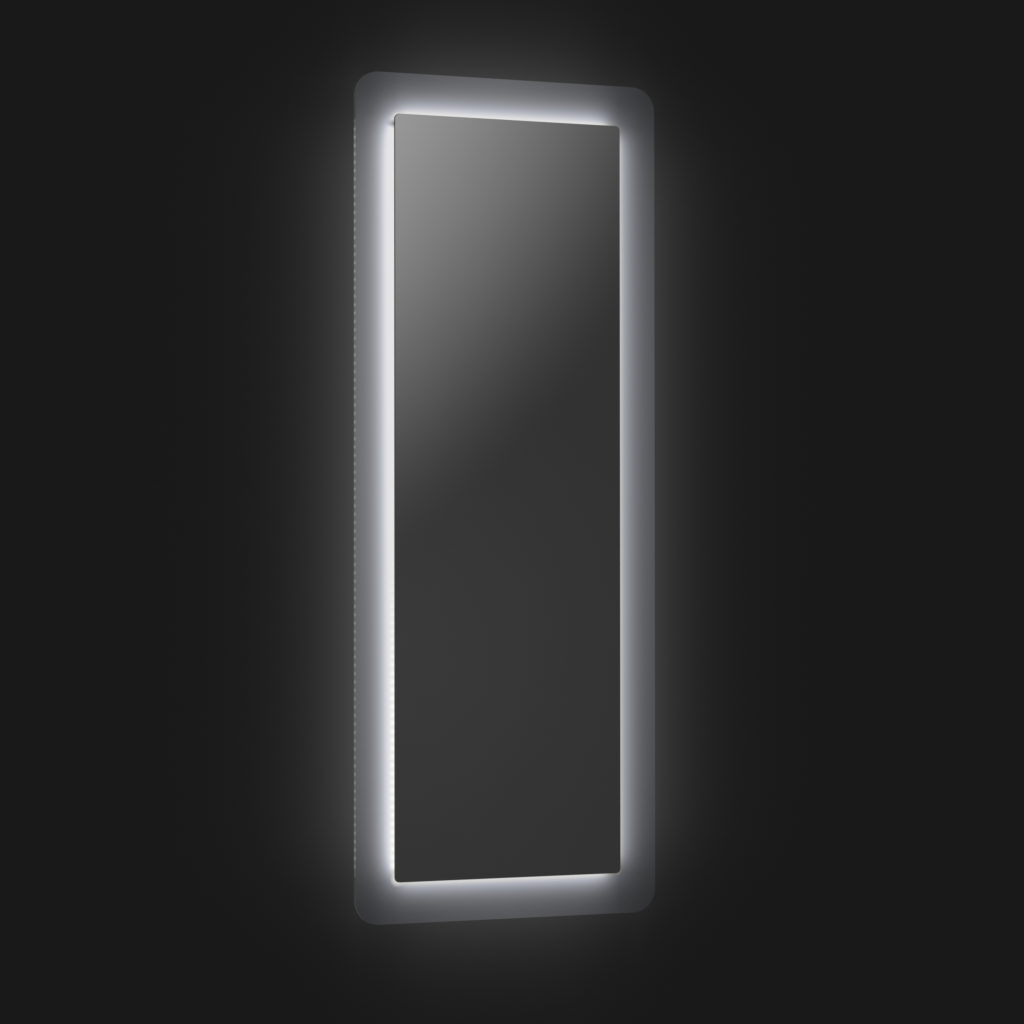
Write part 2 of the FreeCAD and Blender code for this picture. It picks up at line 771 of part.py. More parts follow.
HANGING_SCREW_X = [f"{step} * ({HANGING_CLEAT_END} - dim.hanging_screw_end)" for step in (-1, 0, 1)]
FOOT_X = {"left": f"dim.foot_inset - {INNER_X}", "right": f"{INNER_X} - dim.foot_inset"}
crossbar("crossbar_upper", UPPER_BAR_Z, [(x, HANGING_SCREW_Z, SCREW_HOLE) for x in HANGING_SCREW_X])
crossbar(
    "crossbar_lower",
    LOWER_BAR_Z,
    [(x, LOWER_BAR_Z, "dim.insert_radius + dim.seat_gap") for x in FOOT_X.values()],
)
group(
    "crossbar_screws",
    [
        screw(f"bar_screw_{hand}_{index}", (f"{hand} * {FLANGE_MID_X}", FLANGE_BACK, height), FORWARDS)
        for hand in (-1, 1)
        for index, height in enumerate(BAR_SCREW_HEIGHTS)
    ],
)

# Cleats: the wall cleat's hook stands up, the hanging cleat's hook hangs down behind it, and the
# hanging cleat's ledge rests on the wall cleat's top edge.
HOOK_BACK = "-(2 * dim.cleat_wall + 2 * dim.cleat_clearance)"
HOOK_FRONT = "-(3 * dim.cleat_wall + 2 * dim.cleat_clearance)"
wall_cleat = new_body("wall_cleat")
section = polygon(
    wall_cleat,
    "YZ_Plane",
    "wall_cleat_section",
    [
        ("0", "-dim.cleat_base / 2"),
        ("0", "dim.cleat_base / 2"),
        (HOOK_BACK, "dim.cleat_base / 2"),
        (HOOK_BACK, HOOK_TOP),
        (HOOK_FRONT, HOOK_TOP),
        (HOOK_FRONT, "dim.cleat_base / 2 - dim.cleat_wall"),
        ("-dim.cleat_wall", "dim.cleat_base / 2 - dim.cleat_wall"),
        ("-dim.cleat_wall", "-dim.cleat_base / 2"),
    ],
)
pad(wall_cleat, section, f"2 * {WALL_CLEAT_END}", symmetric=True)
wall_holes = [(f"{hand} * ({WALL_CLEAT_END} - dim.wall_hole_end)", "0") for hand in (-1, 1)]
pocket(wall_cleat, circles(wall_cleat, "XZ_Plane", "wall_holes", wall_holes, "dim.wall_hole_radius"))

HANGER_FRONT = FLANGE_FRONT
HANGER_BACK = "-(3 * dim.cleat_wall + 3 * dim.cleat_clearance)"
TONGUE_FRONT = "-(2 * dim.cleat_wall + dim.cleat_clearance)"
TONGUE_BACK = "-(dim.cleat_wall + dim.cleat_clearance)"
TONGUE_END = "dim.cleat_base / 2 + dim.cleat_hook_clear"
hanging_cleat = new_body("hanging_cleat")
section = polygon(
    hanging_cleat,
    "YZ_Plane",
    "hanging_cleat_section",
    [
        (HANGER_FRONT, HOOK_TOP),
        (TONGUE_FRONT, HOOK_TOP),
        (TONGUE_FRONT, TONGUE_END),
        (TONGUE_BACK, TONGUE_END),
        (TONGUE_BACK, f"{HOOK_TOP} + dim.cleat_wall"),
        (HANGER_BACK, f"{HOOK_TOP} + dim.cleat_wall"),
        (HANGER_BACK, f"{HOOK_TOP} + dim.cleat_base"),
        (HANGER_FRONT, f"{HOOK_TOP} + dim.cleat_base"),
    ],
)
pad(hanging_cleat, section, f"2 * {HANGING_CLEAT_END}", symmetric=True)
hanging_holes = [(x, HANGING_SCREW_Z) for x in HANGING_SCREW_X]
pocket(
    hanging_cleat, circles(hanging_cleat, "XZ_Plane", "hanging_holes", hanging_holes, SCREW_HOLE)
)
group(
    "hanging_screws",
    [
        screw(f"hanging_screw_{index}", (x, HANGER_BACK, HANGING_SCREW_Z), FORWARDS)
        for index, x in enumerate(HANGING_SCREW_X)
    ],
)

# Gear tray: a folded sheet pan between the rear flanges, with a tab over each flange.
tray_pan = block(
    "tray_pan", about("0", TRAY_X), (TRAY_FRONT, TRAY_BACK), about(TRAY_Z, "dim.tray_height / 2")
)
tray_tabs = block(
    "tray_tabs",
    about("0", f"{WEB_X} - dim.tray_tab_end"),
    (FLANGE_BACK, TRAY_BACK),
    about(TRAY_Z, "dim.tray_tab_height / 2"),
)
tray_room = block(
    "tray_room",
    about("0", TRAY_ROOM_X),
    (TRAY_FLOOR, f"{TRAY_BACK} + dim.cut_margin"),
    about(TRAY_Z, "dim.tray_height / 2 - dim.sheet_wall"),
)
EAR_SCREW_REACH = "(dim.driver_length / 2 + dim.cap_length + dim.ear_screw_reach)"
EAR_SCREW_X = about(DRIVER_X, EAR_SCREW_REACH)
tray_holes = [
    rod(
        f"tray_tab_hole_{hand}_{index}",
        SCREW_HOLE,
        "dim.sheet_wall",
        (f"{hand} * {FLANGE_MID_X}", TRAY_BACK, z),
        FORWARDS,
    )
    for hand in (-1, 1)
    for index, z in enumerate(TRAY_SCREW_HEIGHTS)
]
tray_holes += [
    rod(f"tray_ear_hole_{index}", SCREW_HOLE, "dim.sheet_wall", (x, TRAY_FLOOR, TRAY_Z), FORWARDS)
    for index, x in enumerate(EAR_SCREW_X)
]
tray_holes.append(
    rod(
        "tray_lead_hole",
        "dim.ring_radius + dim.seat_gap",
        "dim.sheet_wall",
        (minus(TRAY_X), LEAD_Y, TRAY_Z),
        ACROSS,
    )
)
keep(cut("gear_tray", fuse("tray_sheet", [tray_pan, tray_tabs]), [tray_room, *tray_holes]), "gear_tray")
group(
    "tray_screws",
    [
        screw(f"tray_screw_{hand}_{index}", (f"{hand} * {FLANGE_MID_X}", TRAY_BACK, z), FORWARDS)
        for hand in (-1, 1)
        for index, z in enumerate(TRAY_SCREW_HEIGHTS)
    ],
)

# LED driver: a sleeve with two plugged end caps, and its board and wound parts inside.
DRIVER_BACK = f"({TRAY_FLOOR} + dim.driver_depth)"
driver_span = about(DRIVER_X, "dim.driver_length / 2")
sleeve = block(
    "driver_sleeve", driver_span, (TRAY_FLOOR, DRIVER_BACK), about(TRAY_Z, "dim.driver_height / 2")
)
sleeve_room = block(
    "driver_room",
    about(DRIVER_X, "dim.driver_length / 2 + dim.cut_margin"),
    (f"{TRAY_FLOOR} + dim.driver_wall", f"{DRIVER_BACK} - dim.driver_wall"),
    about(TRAY_Z, "dim.driver_height / 2 - dim.driver_wall"),
)
keep(cut("driver_case", sleeve, [sleeve_room]), "driver_case")


def driver_cap(label, hand):
    """An end cap with a plug inside the sleeve, a screw ear on the tray and a hole for its lead."""
    end = "dim.driver_length / 2"
    cover = block(
        label + "_cover",
        on_hand((end, f"{end} + dim.cap_length"), hand, DRIVER_X),
        (TRAY_FLOOR, DRIVER_BACK),
        about(TRAY_Z, "dim.driver_height / 2"),
    )
    plug_inset = "(dim.driver_wall + dim.seat_gap)"
    plug = block(
        label + "_plug",
        on_hand((f"{end} - dim.cap_lip", end), hand, DRIVER_X),
        (f"{TRAY_FLOOR} + {plug_inset}", f"{DRIVER_BACK} - {plug_inset}"),
        about(TRAY_Z, f"dim.driver_height / 2 - {plug_inset}"),
    )
    ear = block(
        label + "_ear",
        on_hand((f"{end} + dim.cap_length", DRIVER_REACH), hand, DRIVER_X),
        (TRAY_FLOOR, f"{TRAY_FLOOR} + dim.ear_thickness"),
        about(TRAY_Z, "dim.ear_height / 2"),
    )
    ear_hole = rod(
        label + "_ear_hole",
        SCREW_HOLE,
        "dim.ear_thickness",
        (f"{DRIVER_X} + {hand} * {EAR_SCREW_REACH}", TRAY_FLOOR, TRAY_Z),
        INTO_WALL,
    )
    lead_hole = rod(
        label + "_lead_hole",
        "dim.lead_radius + dim.seat_gap",
        "dim.cap_lip + dim.cap_length",
        (f"{DRIVER_X} + {hand} * ({end} - dim.cap_lip)", LEAD_Y, TRAY_Z),
        ACROSS * hand,
    )
    keep(cut(label, fuse(label + "_body", [cover, plug, ear]), [ear_hole, lead_hole]), label)


driver_cap("driver_cap_led", -1)
driver_cap("driver_cap_mains", 1)
group(
    "driver_screws",
    [
        screw(f"driver_screw_{index}", (x, f"{TRAY_FLOOR} + dim.ear_thickness", TRAY_Z), FORWARDS)
        for index, x in enumerate(EAR_SCREW_X)
    ],
)
BOARD_FRONT = f"({TRAY_FLOOR} + dim.driver_wall + dim.board_standoff)"
BOARD_BACK = f"({BOARD_FRONT} + dim.board_thickness)"
keep(
    block(
        "driver_board",
        about(DRIVER_X, "dim.driver_length / 2 - dim.cap_lip - dim.fit_gap"),
        (BOARD_FRONT, BOARD_BACK),
        about(TRAY_Z, "dim.driver_height / 2 - dim.driver_wall - dim.fit_gap"),
    ),
    "driver_board",
)
transformer = block(
    "driver_transformer",
    about(DRIVER_X, "dim.transformer_side / 2"),
    (BOARD_BACK, f"{BOARD_BACK} + dim.transformer_height"),
    about(TRAY_Z, "dim.transformer_side / 2"),
)
capacitors = [
    rod(
        f"driver_capacitor_{hand}",
        "dim.capacitor_radius",
        "dim.capacitor_height",
        (f"{DRIVER_X} + {hand} * dim.capacitor_spacing", BOARD_BACK, TRAY_Z),
        INTO_WALL,
    )
    for hand in (-1, 1)
]
group("driver_components", [transformer, *capacitors])

# Terminal box with a flat lid towards the wall; the house cable enters through a grommet in it.
BOX_BACK = f"({TRAY_FLOOR} + dim.box_depth)"
box_shell = block(
    "box_shell",
    about(BOX_X, "dim.box_length / 2"),
    (TRAY_FLOOR, BOX_BACK),
    about(TRAY_Z, "dim.box_height / 2"),
)
box_room = block(
    "box_room",
    about(BOX_X, "dim.box_length / 2 - dim.box_wall"),
    (f"{TRAY_FLOOR} + dim.box_wall", f"{BOX_BACK} + dim.cut_margin"),
    about(TRAY_Z, "dim.box_height / 2 - dim.box_wall"),
)
box_lead_hole = rod(
    "box_lead_hole",
    "dim.lead_radius + dim.seat_gap",
    "dim.box_wall",
    (f"{BOX_X} - dim.box_length / 2", LEAD_Y, TRAY_Z),
    ACROSS,
)
BOSS_X = "(dim.box_length / 2 - dim.box_wall - dim.boss_radius + dim.seat_gap)"
BOSS_Z = "(dim.box_height / 2 - dim.box_wall - dim.boss_radius + dim.seat_gap)"
LID_SCREWS = [(f"{BOX_X} + {hand} * {BOSS_X}", f"{TRAY_Z} - {hand} * {BOSS_Z}") for hand in (-1, 1)]
bosses = [
    rod(f"box_boss_{index}", "dim.boss_radius", "dim.box_depth", (x, TRAY_FLOOR, z), INTO_WALL)
    for index, (x, z) in enumerate(LID_SCREWS)
]
boss_holes = [
    rod(f"box_boss_hole_{index}", SCREW_HOLE, "dim.screw_length", (x, BOX_BACK, z), FORWARDS)
    for index, (x, z) in enumerate(LID_SCREWS)
]
box_open = cut("box_open", box_shell, [box_room, box_lead_hole])
keep(cut("terminal_box", fuse("box_with_bosses", [box_open, *bosses]), boss_holes), "terminal_box")

LID_BACK = f"({BOX_BACK} + dim.lid_thickness)"
GROMMET = (BOX_X, f"({TRAY_Z} + dim.grommet_rise)")
lid_plate = block(
    "lid_plate",
    about(BOX_X, "dim.box_length / 2"),
    (BOX_BACK, LID_BACK),
    about(TRAY_Z, "dim.box_height / 2"),
)
lid_holes = [
    rod(f"lid_screw_hole_{index}", SCREW_HOLE, "dim.lid_thickness", (x, BOX_BACK, z), INTO_WALL)
    for index, (x, z) in enumerate(LID_SCREWS)
]
lid_holes.append(
    rod(
        "lid_cable_hole",
        "dim.grommet_neck + dim.seat_gap",
        "dim.lid_thickness",
        (GROMMET[0], BOX_BACK, GROMMET[1]),
        INTO_WALL,
    )
)
keep(cut("terminal_lid", lid_plate, lid_holes), "terminal_lid")
group(
    "terminal_lid_screws",
    [screw(f"lid_screw_{index}", (x, LID_BACK, z), FORWARDS) for index, (x, z) in enumerate(LID_SCREWS)],
)

grommet_start = f"({BOX_BACK} - dim.grommet_lip)"
grommet_parts = [
    rod(f"grommet_{name}", radius, length, (GROMMET[0], start, GROMMET[1]), INTO_WALL)
    for name, radius, length, start in (
        ("inner_lip", "dim.grommet_flange", "dim.grommet_lip", grommet_start),
        ("neck", "dim.grommet_neck", "dim.lid_thickness", BOX_BACK),
        ("outer_lip", "dim.grommet_flange", "dim.grommet_lip", LID_BACK),
    )
]
grommet_bore = rod(
    "grommet_hole",
    "dim.grommet_bore",
    "dim.lid_thickness + 2 * dim.grommet_lip",
    (GROMMET[0], grommet_start, GROMMET[1]),
    INTO_WALL,
)
keep(cut("cable_grommet", fuse("grommet_body", grommet_parts), [grommet_bore]), "cable_grommet")

BLOCK_FRONT = f"({TRAY_FLOOR} + dim.box_wall)"
BLOCK_BACK = f"({BLOCK_FRONT} + dim.block_depth)"
block_body = block(
    "block_body",
    about(BOX_X, "dim.block_length / 2"),
    (BLOCK_FRONT, BLOCK_BACK),
    about(TRAY_Z, "dim.block_height / 2"),
)
pole_wells = [
    rod(
        f"pole_well_{step}",
        "dim.pole_radius",
        "dim.pole_depth",
        (f"{BOX_X} + {step} * dim.pole_spacing", BLOCK_BACK, TRAY_Z),
        FORWARDS,
    )
    for step in (-1, 0, 1)
]
keep(cut("terminal_block", block_body, pole_wells), "terminal_block")

# Leads: a short one from the terminal block to the driver, and the LED lead, which leaves the
# tray on the left, runs up the chassis and meets the back of the left LED tape.
mains_start = f"{DRIVER_X} + dim.driver_length / 2 - dim.cap_lip"
keep(
    rod(
        "mains_lead",
        "dim.lead_radius",
        f"({BOX_X} - dim.block_length / 2) - ({mains_start})",
        (mains_start, LEAD_Y, TRAY_Z),
        ACROSS,
    ),
    "mains_lead",
)


def tube_along(corners, radius, bend):
    """A round tube through the corners, each rounded with the same bend radius."""
    edges = []
    start = corners[0]
    for before, corner, after in zip(corners, corners[1:], corners[2:]):
        back = (before - corner).normalize()
        ahead = (after - corner).normalize()
        turn_in = corner + back * bend
        turn_out = corner + ahead * bend
        centre = corner + (back + ahead) * bend
        middle = centre + (corner - centre).normalize() * bend
        edges.append(Part.LineSegment(start, turn_in).toShape())
        edges.append(Part.Arc(turn_in, middle, turn_out).toShape())
        start = turn_out
    edges.append(Part.LineSegment(start, corners[-1]).toShape())
    path = Part.Wire(edges)
    ring = Part.Wire(Part.makeCircle(radius, corners[0], corners[1] - corners[0]))
    return path.makePipeShell([ring], True, False), path.Length


LEAD_X = f"(-({INNER_X} - dim.lead_standoff))"
lead_corners = [
    FreeCAD.Vector(*(value(term) for term in place))
    for place in (
        (f"{DRIVER_X} - dim.driver_length / 2 + dim.cap_lip", LEAD_Y, TRAY_Z),
        (LEAD_X, LEAD_Y, TRAY_Z),
        (LEAD_X, FEED_Y, TRAY_Z),
        (LEAD_X, FEED_Y, FEED_Z),
        (minus(WEB_X), FEED_Y, FEED_Z),
    )
]
led_lead = keep(doc.addObject("Part::Feature", "led_lead"), "led_lead")
lead_bend = min(value("dim.lead_bend"), value("dim.lead_standoff - dim.ring_lip"))
led_lead.Shape, lead_length = tube_along(lead_corners, value("dim.lead_radius"), lead_bend)
print(f"LED lead: {lead_length:.0f} mm long, bends of {lead_bend:.1f} mm")


def lead_ring(name, x, y, z, wall, proud):
    """A grommet ring in a wall that the lead crosses along X, with a lip on the wall's far face.

    The neck stands proud of the near face."""
    length = f"{proud} + {wall} + dim.ring_lip"
    start = f"({x}) - {proud}"
    neck = rod(name + "_neck", "dim.ring_radius", length, (start, y, z), ACROSS)
    lip = rod(name + "_lip", "dim.ring_flange", "dim.ring_lip", (f"({x}) + {wall}", y, z), ACROSS)
    hole = rod(name + "_hole", "dim.lead_radius + dim.seat_gap", length, (start, y, z), ACROSS)
    return cut(name, fuse(name + "_body", [neck, lip]), [hole])


web_ring = lead_ring("web_ring", minus(WEB_X), FEED_Y, FEED_Z, "dim.rail_wall", "0")
tray_ring = lead_ring("tray_ring", minus(TRAY_X), LEAD_Y, TRAY_Z, "dim.sheet_wall", "dim.ring_lip")
group("lead_grommets", [web_ring, tray_ring])

CLIP_OUT = "(dim.lead_radius + dim.seat_gap + dim.clip_wall)"
clips = []
for index, share in enumerate((0.25, 0.5, 0.75)):
    clip_z = f"{TRAY_Z} + {share} * ({FEED_Z} - {TRAY_Z})"
    saddle = block(
        f"clip_saddle_{index}",
        (minus(INNER_X), f"{LEAD_X} + {CLIP_OUT}"),
        about(FEED_Y, CLIP_OUT),
        about(clip_z, "dim.clip_width / 2"),
    )
    clip_hole = rod(
        f"clip_hole_{index}",
        "dim.lead_radius + dim.seat_gap",
        "dim.clip_width",
        (LEAD_X, FEED_Y, f"({clip_z}) - dim.clip_width / 2"),
        UP,
    )
    clips.append(cut(f"lead_clip_{index}", saddle, [clip_hole]))
group("lead_clips", clips)

# Wall feet in the lower crossbar: a flanged insert, a stem with a thumbwheel, and a rubber pad
# that swivels on the stem's pin.
inserts = []
for side, x in FOOT_X.items():
    barrel = rod(
        f"insert_barrel_{side}",
        "dim.insert_radius",
        "dim.insert_length",
        (x, FLANGE_FRONT, LOWER_BAR_Z),
        FORWARDS,
    )
    lip = rod(
        f"insert_lip_{side}", "dim.insert_flange", "dim.insert_lip", (x, FLANGE_FRONT, LOWER_BAR_Z), INTO_WALL
    )
    thread = rod(
        f"insert_thread_{side}",
        "dim.stem_radius + dim.stem_clearance",
        "dim.insert_length + dim.insert_lip",
        (x, f"{FLANGE_FRONT} + dim.insert_lip", LOWER_BAR_Z),
        FORWARDS,
    )
    inserts.append(cut(f"foot_insert_{side}", fuse(f"insert_body_{side}", [barrel, lip]), [thread]))
group("foot_inserts", inserts)

WHEEL_BACK = "(-dim.pad_thickness - dim.fit_gap)"
WHEEL_FRONT = f"({WHEEL_BACK} - dim.wheel_width)"
STEM_TIP = f"({WHEEL_FRONT} - dim.stem_length)"
PIN_END = f"({WHEEL_BACK} + dim.pin_length)"
for side, x in FOOT_X.items():
    stem = new_body(f"foot_stem_{side}")
    tie(stem, (x, "0", LOWER_BAR_Z))
    profile = polygon(
        stem,
        "XY_Plane",
        f"stem_profile_{side}",
        [
            ("0", STEM_TIP),
            ("dim.stem_radius", STEM_TIP),
            ("dim.stem_radius", WHEEL_FRONT),
            ("dim.wheel_radius", WHEEL_FRONT),
            ("dim.wheel_radius", WHEEL_BACK),
            ("dim.pin_radius", WHEEL_BACK),
            ("dim.pin_radius", PIN_END),
            ("0", PIN_END),
        ],
    )
    revolve(stem, profile)
    notch = pocket(
        stem,
        circles(stem, "XZ_Plane", f"wheel_notch_{side}", [("dim.wheel_radius", "0")], "dim.wheel_notch"),
    )
    knurl = stem.newObject("PartDesign::PolarPattern", f"wheel_knurl_{side}")
    knurl.Originals = [notch]
    knurl.Axis = (origin_feature(stem, "Y_Axis"), [""])
    knurl.setExpression("Occurrences", "dim.wheel_notches")
    stem.Tip = knurl

    foot_pad = new_body(f"foot_pad_{side}")
    tie(foot_pad, (x, "0", LOWER_BAR_Z))
    socket = "dim.pin_radius + dim.seat_gap"
    socket_end = f"{PIN_END} + dim.fit_gap"
    profile = polygon(
        foot_pad,
        "XY_Plane",
        f"pad_profile_{side}",
        [
            ("0", socket_end),
            (socket, socket_end),
            (socket, "-dim.pad_thickness"),
            ("dim.pad_radius", "-dim.pad_thickness"),
            ("dim.pad_radius", "0"),
            ("0", "0"),
        ],
    )
    revolve(foot_pad, profile)

doc.recompute()
failed = [item.Label for item in doc.Objects if {"Invalid", "Error"} & set(item.State)]
if failed:
    raise RuntimeError(f"these objects failed: {failed}")
for part in parts:
    if part.Shape.isNull() or not part.Shape.isValid() or not part.Shape.Solids:
        raise RuntimeError(f"{part.Label} has no valid solid")

os.makedirs("parts", exist_ok=True)
for part in parts:
    part.Shape.exportStep(f"parts/{part.Label}.step")
    print(f"{part.Label}: {len(part.Shape.Solids)} solids, {part.Shape.Volume / 1000:.2f} cm3")
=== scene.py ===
# %% [markdown]
# # A lighted mirror, finished in Blender
# The real object is a tall silvered pane on a larger plate of satin acrylic. LED tapes hide behind
# the pane and shine outwards into the acrylic, so a border of light shows round the pane. The
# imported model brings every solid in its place, in metres, so this lesson only adds finishes, the
# small repeated shapes and a studio.

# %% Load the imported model
import math
import bmesh
import bpy
from mathutils import Euler, Matrix, Vector


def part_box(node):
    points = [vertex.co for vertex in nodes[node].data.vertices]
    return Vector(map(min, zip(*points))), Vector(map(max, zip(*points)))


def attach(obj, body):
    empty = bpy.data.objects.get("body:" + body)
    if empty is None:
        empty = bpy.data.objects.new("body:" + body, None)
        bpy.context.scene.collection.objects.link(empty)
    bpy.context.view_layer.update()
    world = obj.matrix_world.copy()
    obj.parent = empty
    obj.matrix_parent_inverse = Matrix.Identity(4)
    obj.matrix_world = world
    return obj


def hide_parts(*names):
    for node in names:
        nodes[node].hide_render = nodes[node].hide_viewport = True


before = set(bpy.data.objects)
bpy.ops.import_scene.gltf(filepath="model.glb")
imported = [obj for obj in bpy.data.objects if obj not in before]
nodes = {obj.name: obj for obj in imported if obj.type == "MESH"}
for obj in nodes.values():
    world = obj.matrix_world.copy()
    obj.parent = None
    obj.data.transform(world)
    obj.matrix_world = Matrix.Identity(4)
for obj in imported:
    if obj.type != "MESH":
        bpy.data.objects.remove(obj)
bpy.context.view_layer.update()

# %% [markdown]
# ## Colours, sizes and nodes
# Colours are written as sRGB hex, as a designer picks them, and shaders want linear light, so one
# function converts them. Pattern sizes are thought of in millimetres. One more function adds any
# node with its settings and links, for shaders and for Geometry Nodes alike, and takes a node for
# its first output, which keeps the node trees below readable.

# %% Helpers
MATH, VECTOR, RANGE, MIX = "ShaderNodeMath", "ShaderNodeVectorMath", "ShaderNodeMapRange", "ShaderNodeMix"
NOISE, COORDINATES = "ShaderNodeTexNoise", "ShaderNodeTexCoord"
SPLIT, COMBINE = "ShaderNodeSeparateXYZ", "ShaderNodeCombineXYZ"


def linear(hex_code):
    """An sRGB hex colour as linear RGBA."""
    channels = [int(hex_code[start:start + 2], 16) / 255 for start in (1, 3, 5)]
    return (*(c / 12.92 if c <= 0.04045 else ((c + 0.055) / 1.055) ** 2.4 for c in channels), 1.0)


def mm(length):
    """Millimetres as metres."""
    return length / 1000


def output_of(source):
    """A node stands for its first output; anything else stays as it is."""
    return source.outputs[0] if isinstance(source, bpy.types.Node) else source


def add(tree, kind, inputs=None, operation=None, **settings):
    """Adds a node; inputs gives each socket a value, a node, a node's output or a list of nodes."""
    node = tree.nodes.new(kind)
    if operation:
        node.operation = operation
    for name, setting in settings.items():
        setattr(node, name, setting)
    for socket, given in (inputs or {}).items():
        for source in map(output_of, given if isinstance(given, list) else [given]):
            if isinstance(source, bpy.types.NodeSocket):
                tree.links.new(source, node.inputs[socket])
            else:
                node.inputs[socket].default_value = source
    return node


def plug(node, **sources):
    """Links nodes or outputs to the sockets of a node that is there already, with _ for a space."""
    for socket, source in sources.items():
        node.id_data.links.new(output_of(source), node.inputs[socket.replace("_", " ")])


def new_material(name):
    """An empty material and its node tree."""
    material = bpy.data.materials.new(name)
    material.use_nodes = True
    material.node_tree.nodes.clear()
    return material, material.node_tree


def new_finish(name, colour, roughness, **sockets):
    """A material with one Principled shader, and the place on the piece for its pattern nodes."""
    finish, tree = new_material(name)
    start = {"Base Color": linear(colour), "Roughness": roughness}
    start.update({socket.replace("_", " "): given for socket, given in sockets.items()})
    shader = add(tree, "ShaderNodeBsdfPrincipled", start)
    add(tree, "ShaderNodeOutputMaterial", {"Surface": shader})
    return finish, tree, shader, add(tree, COORDINATES).outputs["Object"]


def wear(finish, *names):
    """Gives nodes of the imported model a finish."""
    for name in names:
        nodes[name].data.materials.clear()
        nodes[name].data.materials.append(finish)
    print(f"{finish.name}: {', '.join(names)}")


# %% [markdown]
# ## Camera
# The photograph was taken from about 25 degrees to the left, slightly below the middle of the
# mirror and through a long lens. The place, the direction and the lens were fitted to the edges
# of the pane and of the light frame, so the render lines up with the photograph without any shift.

# %% Camera
CAMERA_PLACE = (-3.0933, -6.5745, -0.7493)
HEADING, PITCH, ROLL = math.radians(25.3986), math.radians(0.7270), math.radians(-0.0442)
SENSOR_MM, FOCAL_PIXELS, IMAGE_PIXELS = 36.0, 3568.1, 1024

camera_data = bpy.data.cameras.new("camera")
camera_data.sensor_width = SENSOR_MM
camera_data.lens = FOCAL_PIXELS * SENSOR_MM / IMAGE_PIXELS
camera = bpy.data.objects.new("camera", camera_data)
turn = Euler((math.radians(90) + PITCH, 0, -HEADING)).to_matrix() @ Matrix.Rotation(ROLL, 3, "Z")
camera.matrix_world = Matrix.Translation(CAMERA_PLACE) @ turn.to_4x4()
bpy.context.scene.collection.objects.link(camera)
bpy.context.scene.camera = camera
print(f"lens {camera_data.lens:.1f} mm")

# %% [markdown]
# ## Measures of the light
# The light depends on a few places: the edge of the pane, the ends of the LED tapes and the LED
# pitch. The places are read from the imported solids, so the light stays with the shape.

# %% Places that the light needs
plate_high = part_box("light_frame")[1]
pane_low, pane_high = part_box("mirror_glass")
tall_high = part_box("led_tape_left")[1]
wide_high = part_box("led_tape_top")[1]
MIDDLE_Z = (pane_low.z + pane_high.z) / 2
PANE_X, PANE_Z = pane_high.x, pane_high.z - MIDDLE_Z
PLATE_X, PLATE_Z = plate_high.x, plate_high.z - MIDDLE_Z
TAPE_Z, TAPE_X = tall_high.z - MIDDLE_Z, wide_high.x
LED_PITCH = mm(50) / 3  # 60 to the metre
print(f"pane {2 * PANE_X:.3f} x {2 * PANE_Z:.3f} m, tapes {2 * TAPE_Z:.3f} and {2 * TAPE_X:.3f} m")

# %% [markdown]
# ## Studio floor and wall
# The floor is plain and pale, and clear from below. The wall behind is a dark backdrop with the
# faint halo that the lit plate throws on it. Each pair of tapes gives a share that falls off with
# the distance from the plate's sides and past the ends of the tapes, so the corners stay darker.
# The wall shows only from the front, so that the back of the part can be looked at, and it neither
# throws nor takes light. Polished edges reflect it, so a second wall is there for reflections
# alone. It is open behind the pane, which leaves the studio to the metal on the back.

# %% Floor


def stage_mesh(name, corners, faces):
    """A plain mesh that isn't part of the object."""
    mesh = bpy.data.meshes.new(name)
    mesh.from_pydata(corners, [], faces)
    thing = bpy.data.objects.new(name, mesh)
    bpy.context.scene.collection.objects.link(thing)
    return thing


def clear_behind(tree, surface):
    """A shader that shows only on the front of a face."""
    clear = add(tree, "ShaderNodeBsdfTransparent")
    side = add(tree, "ShaderNodeNewGeometry")
    return add(tree, "ShaderNodeMixShader", {0: side.outputs["Backfacing"], 1: surface, 2: clear})


FLOOR_Z, FLOOR_REACH, FLOOR_GRIT = -1.85, 15.0, mm(40)
square = ((-1, -1), (1, -1), (1, 1), (-1, 1))
floor_corners = [(x * FLOOR_REACH, y * FLOOR_REACH, FLOOR_Z) for x, y in square]
floor = stage_mesh("floor", floor_corners, [(0, 1, 2, 3)])
floor.visible_glossy = False
painted_floor, tree, shader, spot = new_finish("pale_painted_floor", "#CBCAC6", 0.7, Specular_IOR_Level=0.0)
grit = add(tree, NOISE, {"Vector": spot, "Scale": 1 / FLOOR_GRIT, "Detail": 3.0})
tint = add(tree, MIX, {0: grit, 6: linear("#C8C7C3"), 7: linear("#CECDC9")}, data_type="RGBA")
plug(shader, Base_Color=tint.outputs[2])
plug(tree.get_output_node("ALL"), Surface=clear_behind(tree, shader))
floor.data.materials.append(painted_floor)
print("stage:", floor.name)

# %% Wall with its halo
UNSEEN = ("diffuse", "transmission", "shadow", "volume_scatter")  # rays that pass wall and surround
WALL_Y, WALL_REACH, WALL_TOP = 0.002, 6.0, 4.0
wall_corners = [(x * WALL_REACH, WALL_Y, WALL_TOP if z > 0 else FLOOR_Z) for x, z in square]
wall = stage_mesh("wall", wall_corners, [(0, 1, 2, 3)])
wall_corners += [(x * PANE_X, WALL_Y, MIDDLE_Z + z * PANE_Z) for x, z in square]
open_wall = stage_mesh("open_wall", wall_corners, [(0, 1, 5, 4), (1, 2, 6, 5), (2, 3, 7, 6), (3, 0, 4, 7)])
for thing, hidden in ((wall, "glossy"), (open_wall, "camera")):
    for ray in (hidden, *UNSEEN):
        setattr(thing, f"visible_{ray}", False)
HALO_REACH, HALO_END, HALO_LIGHT, WALL_LIGHT = mm(76), mm(52), 0.0533, 0.0098
HALO_INSET = mm(20)  # the wall is brightest this far behind the plate's edge
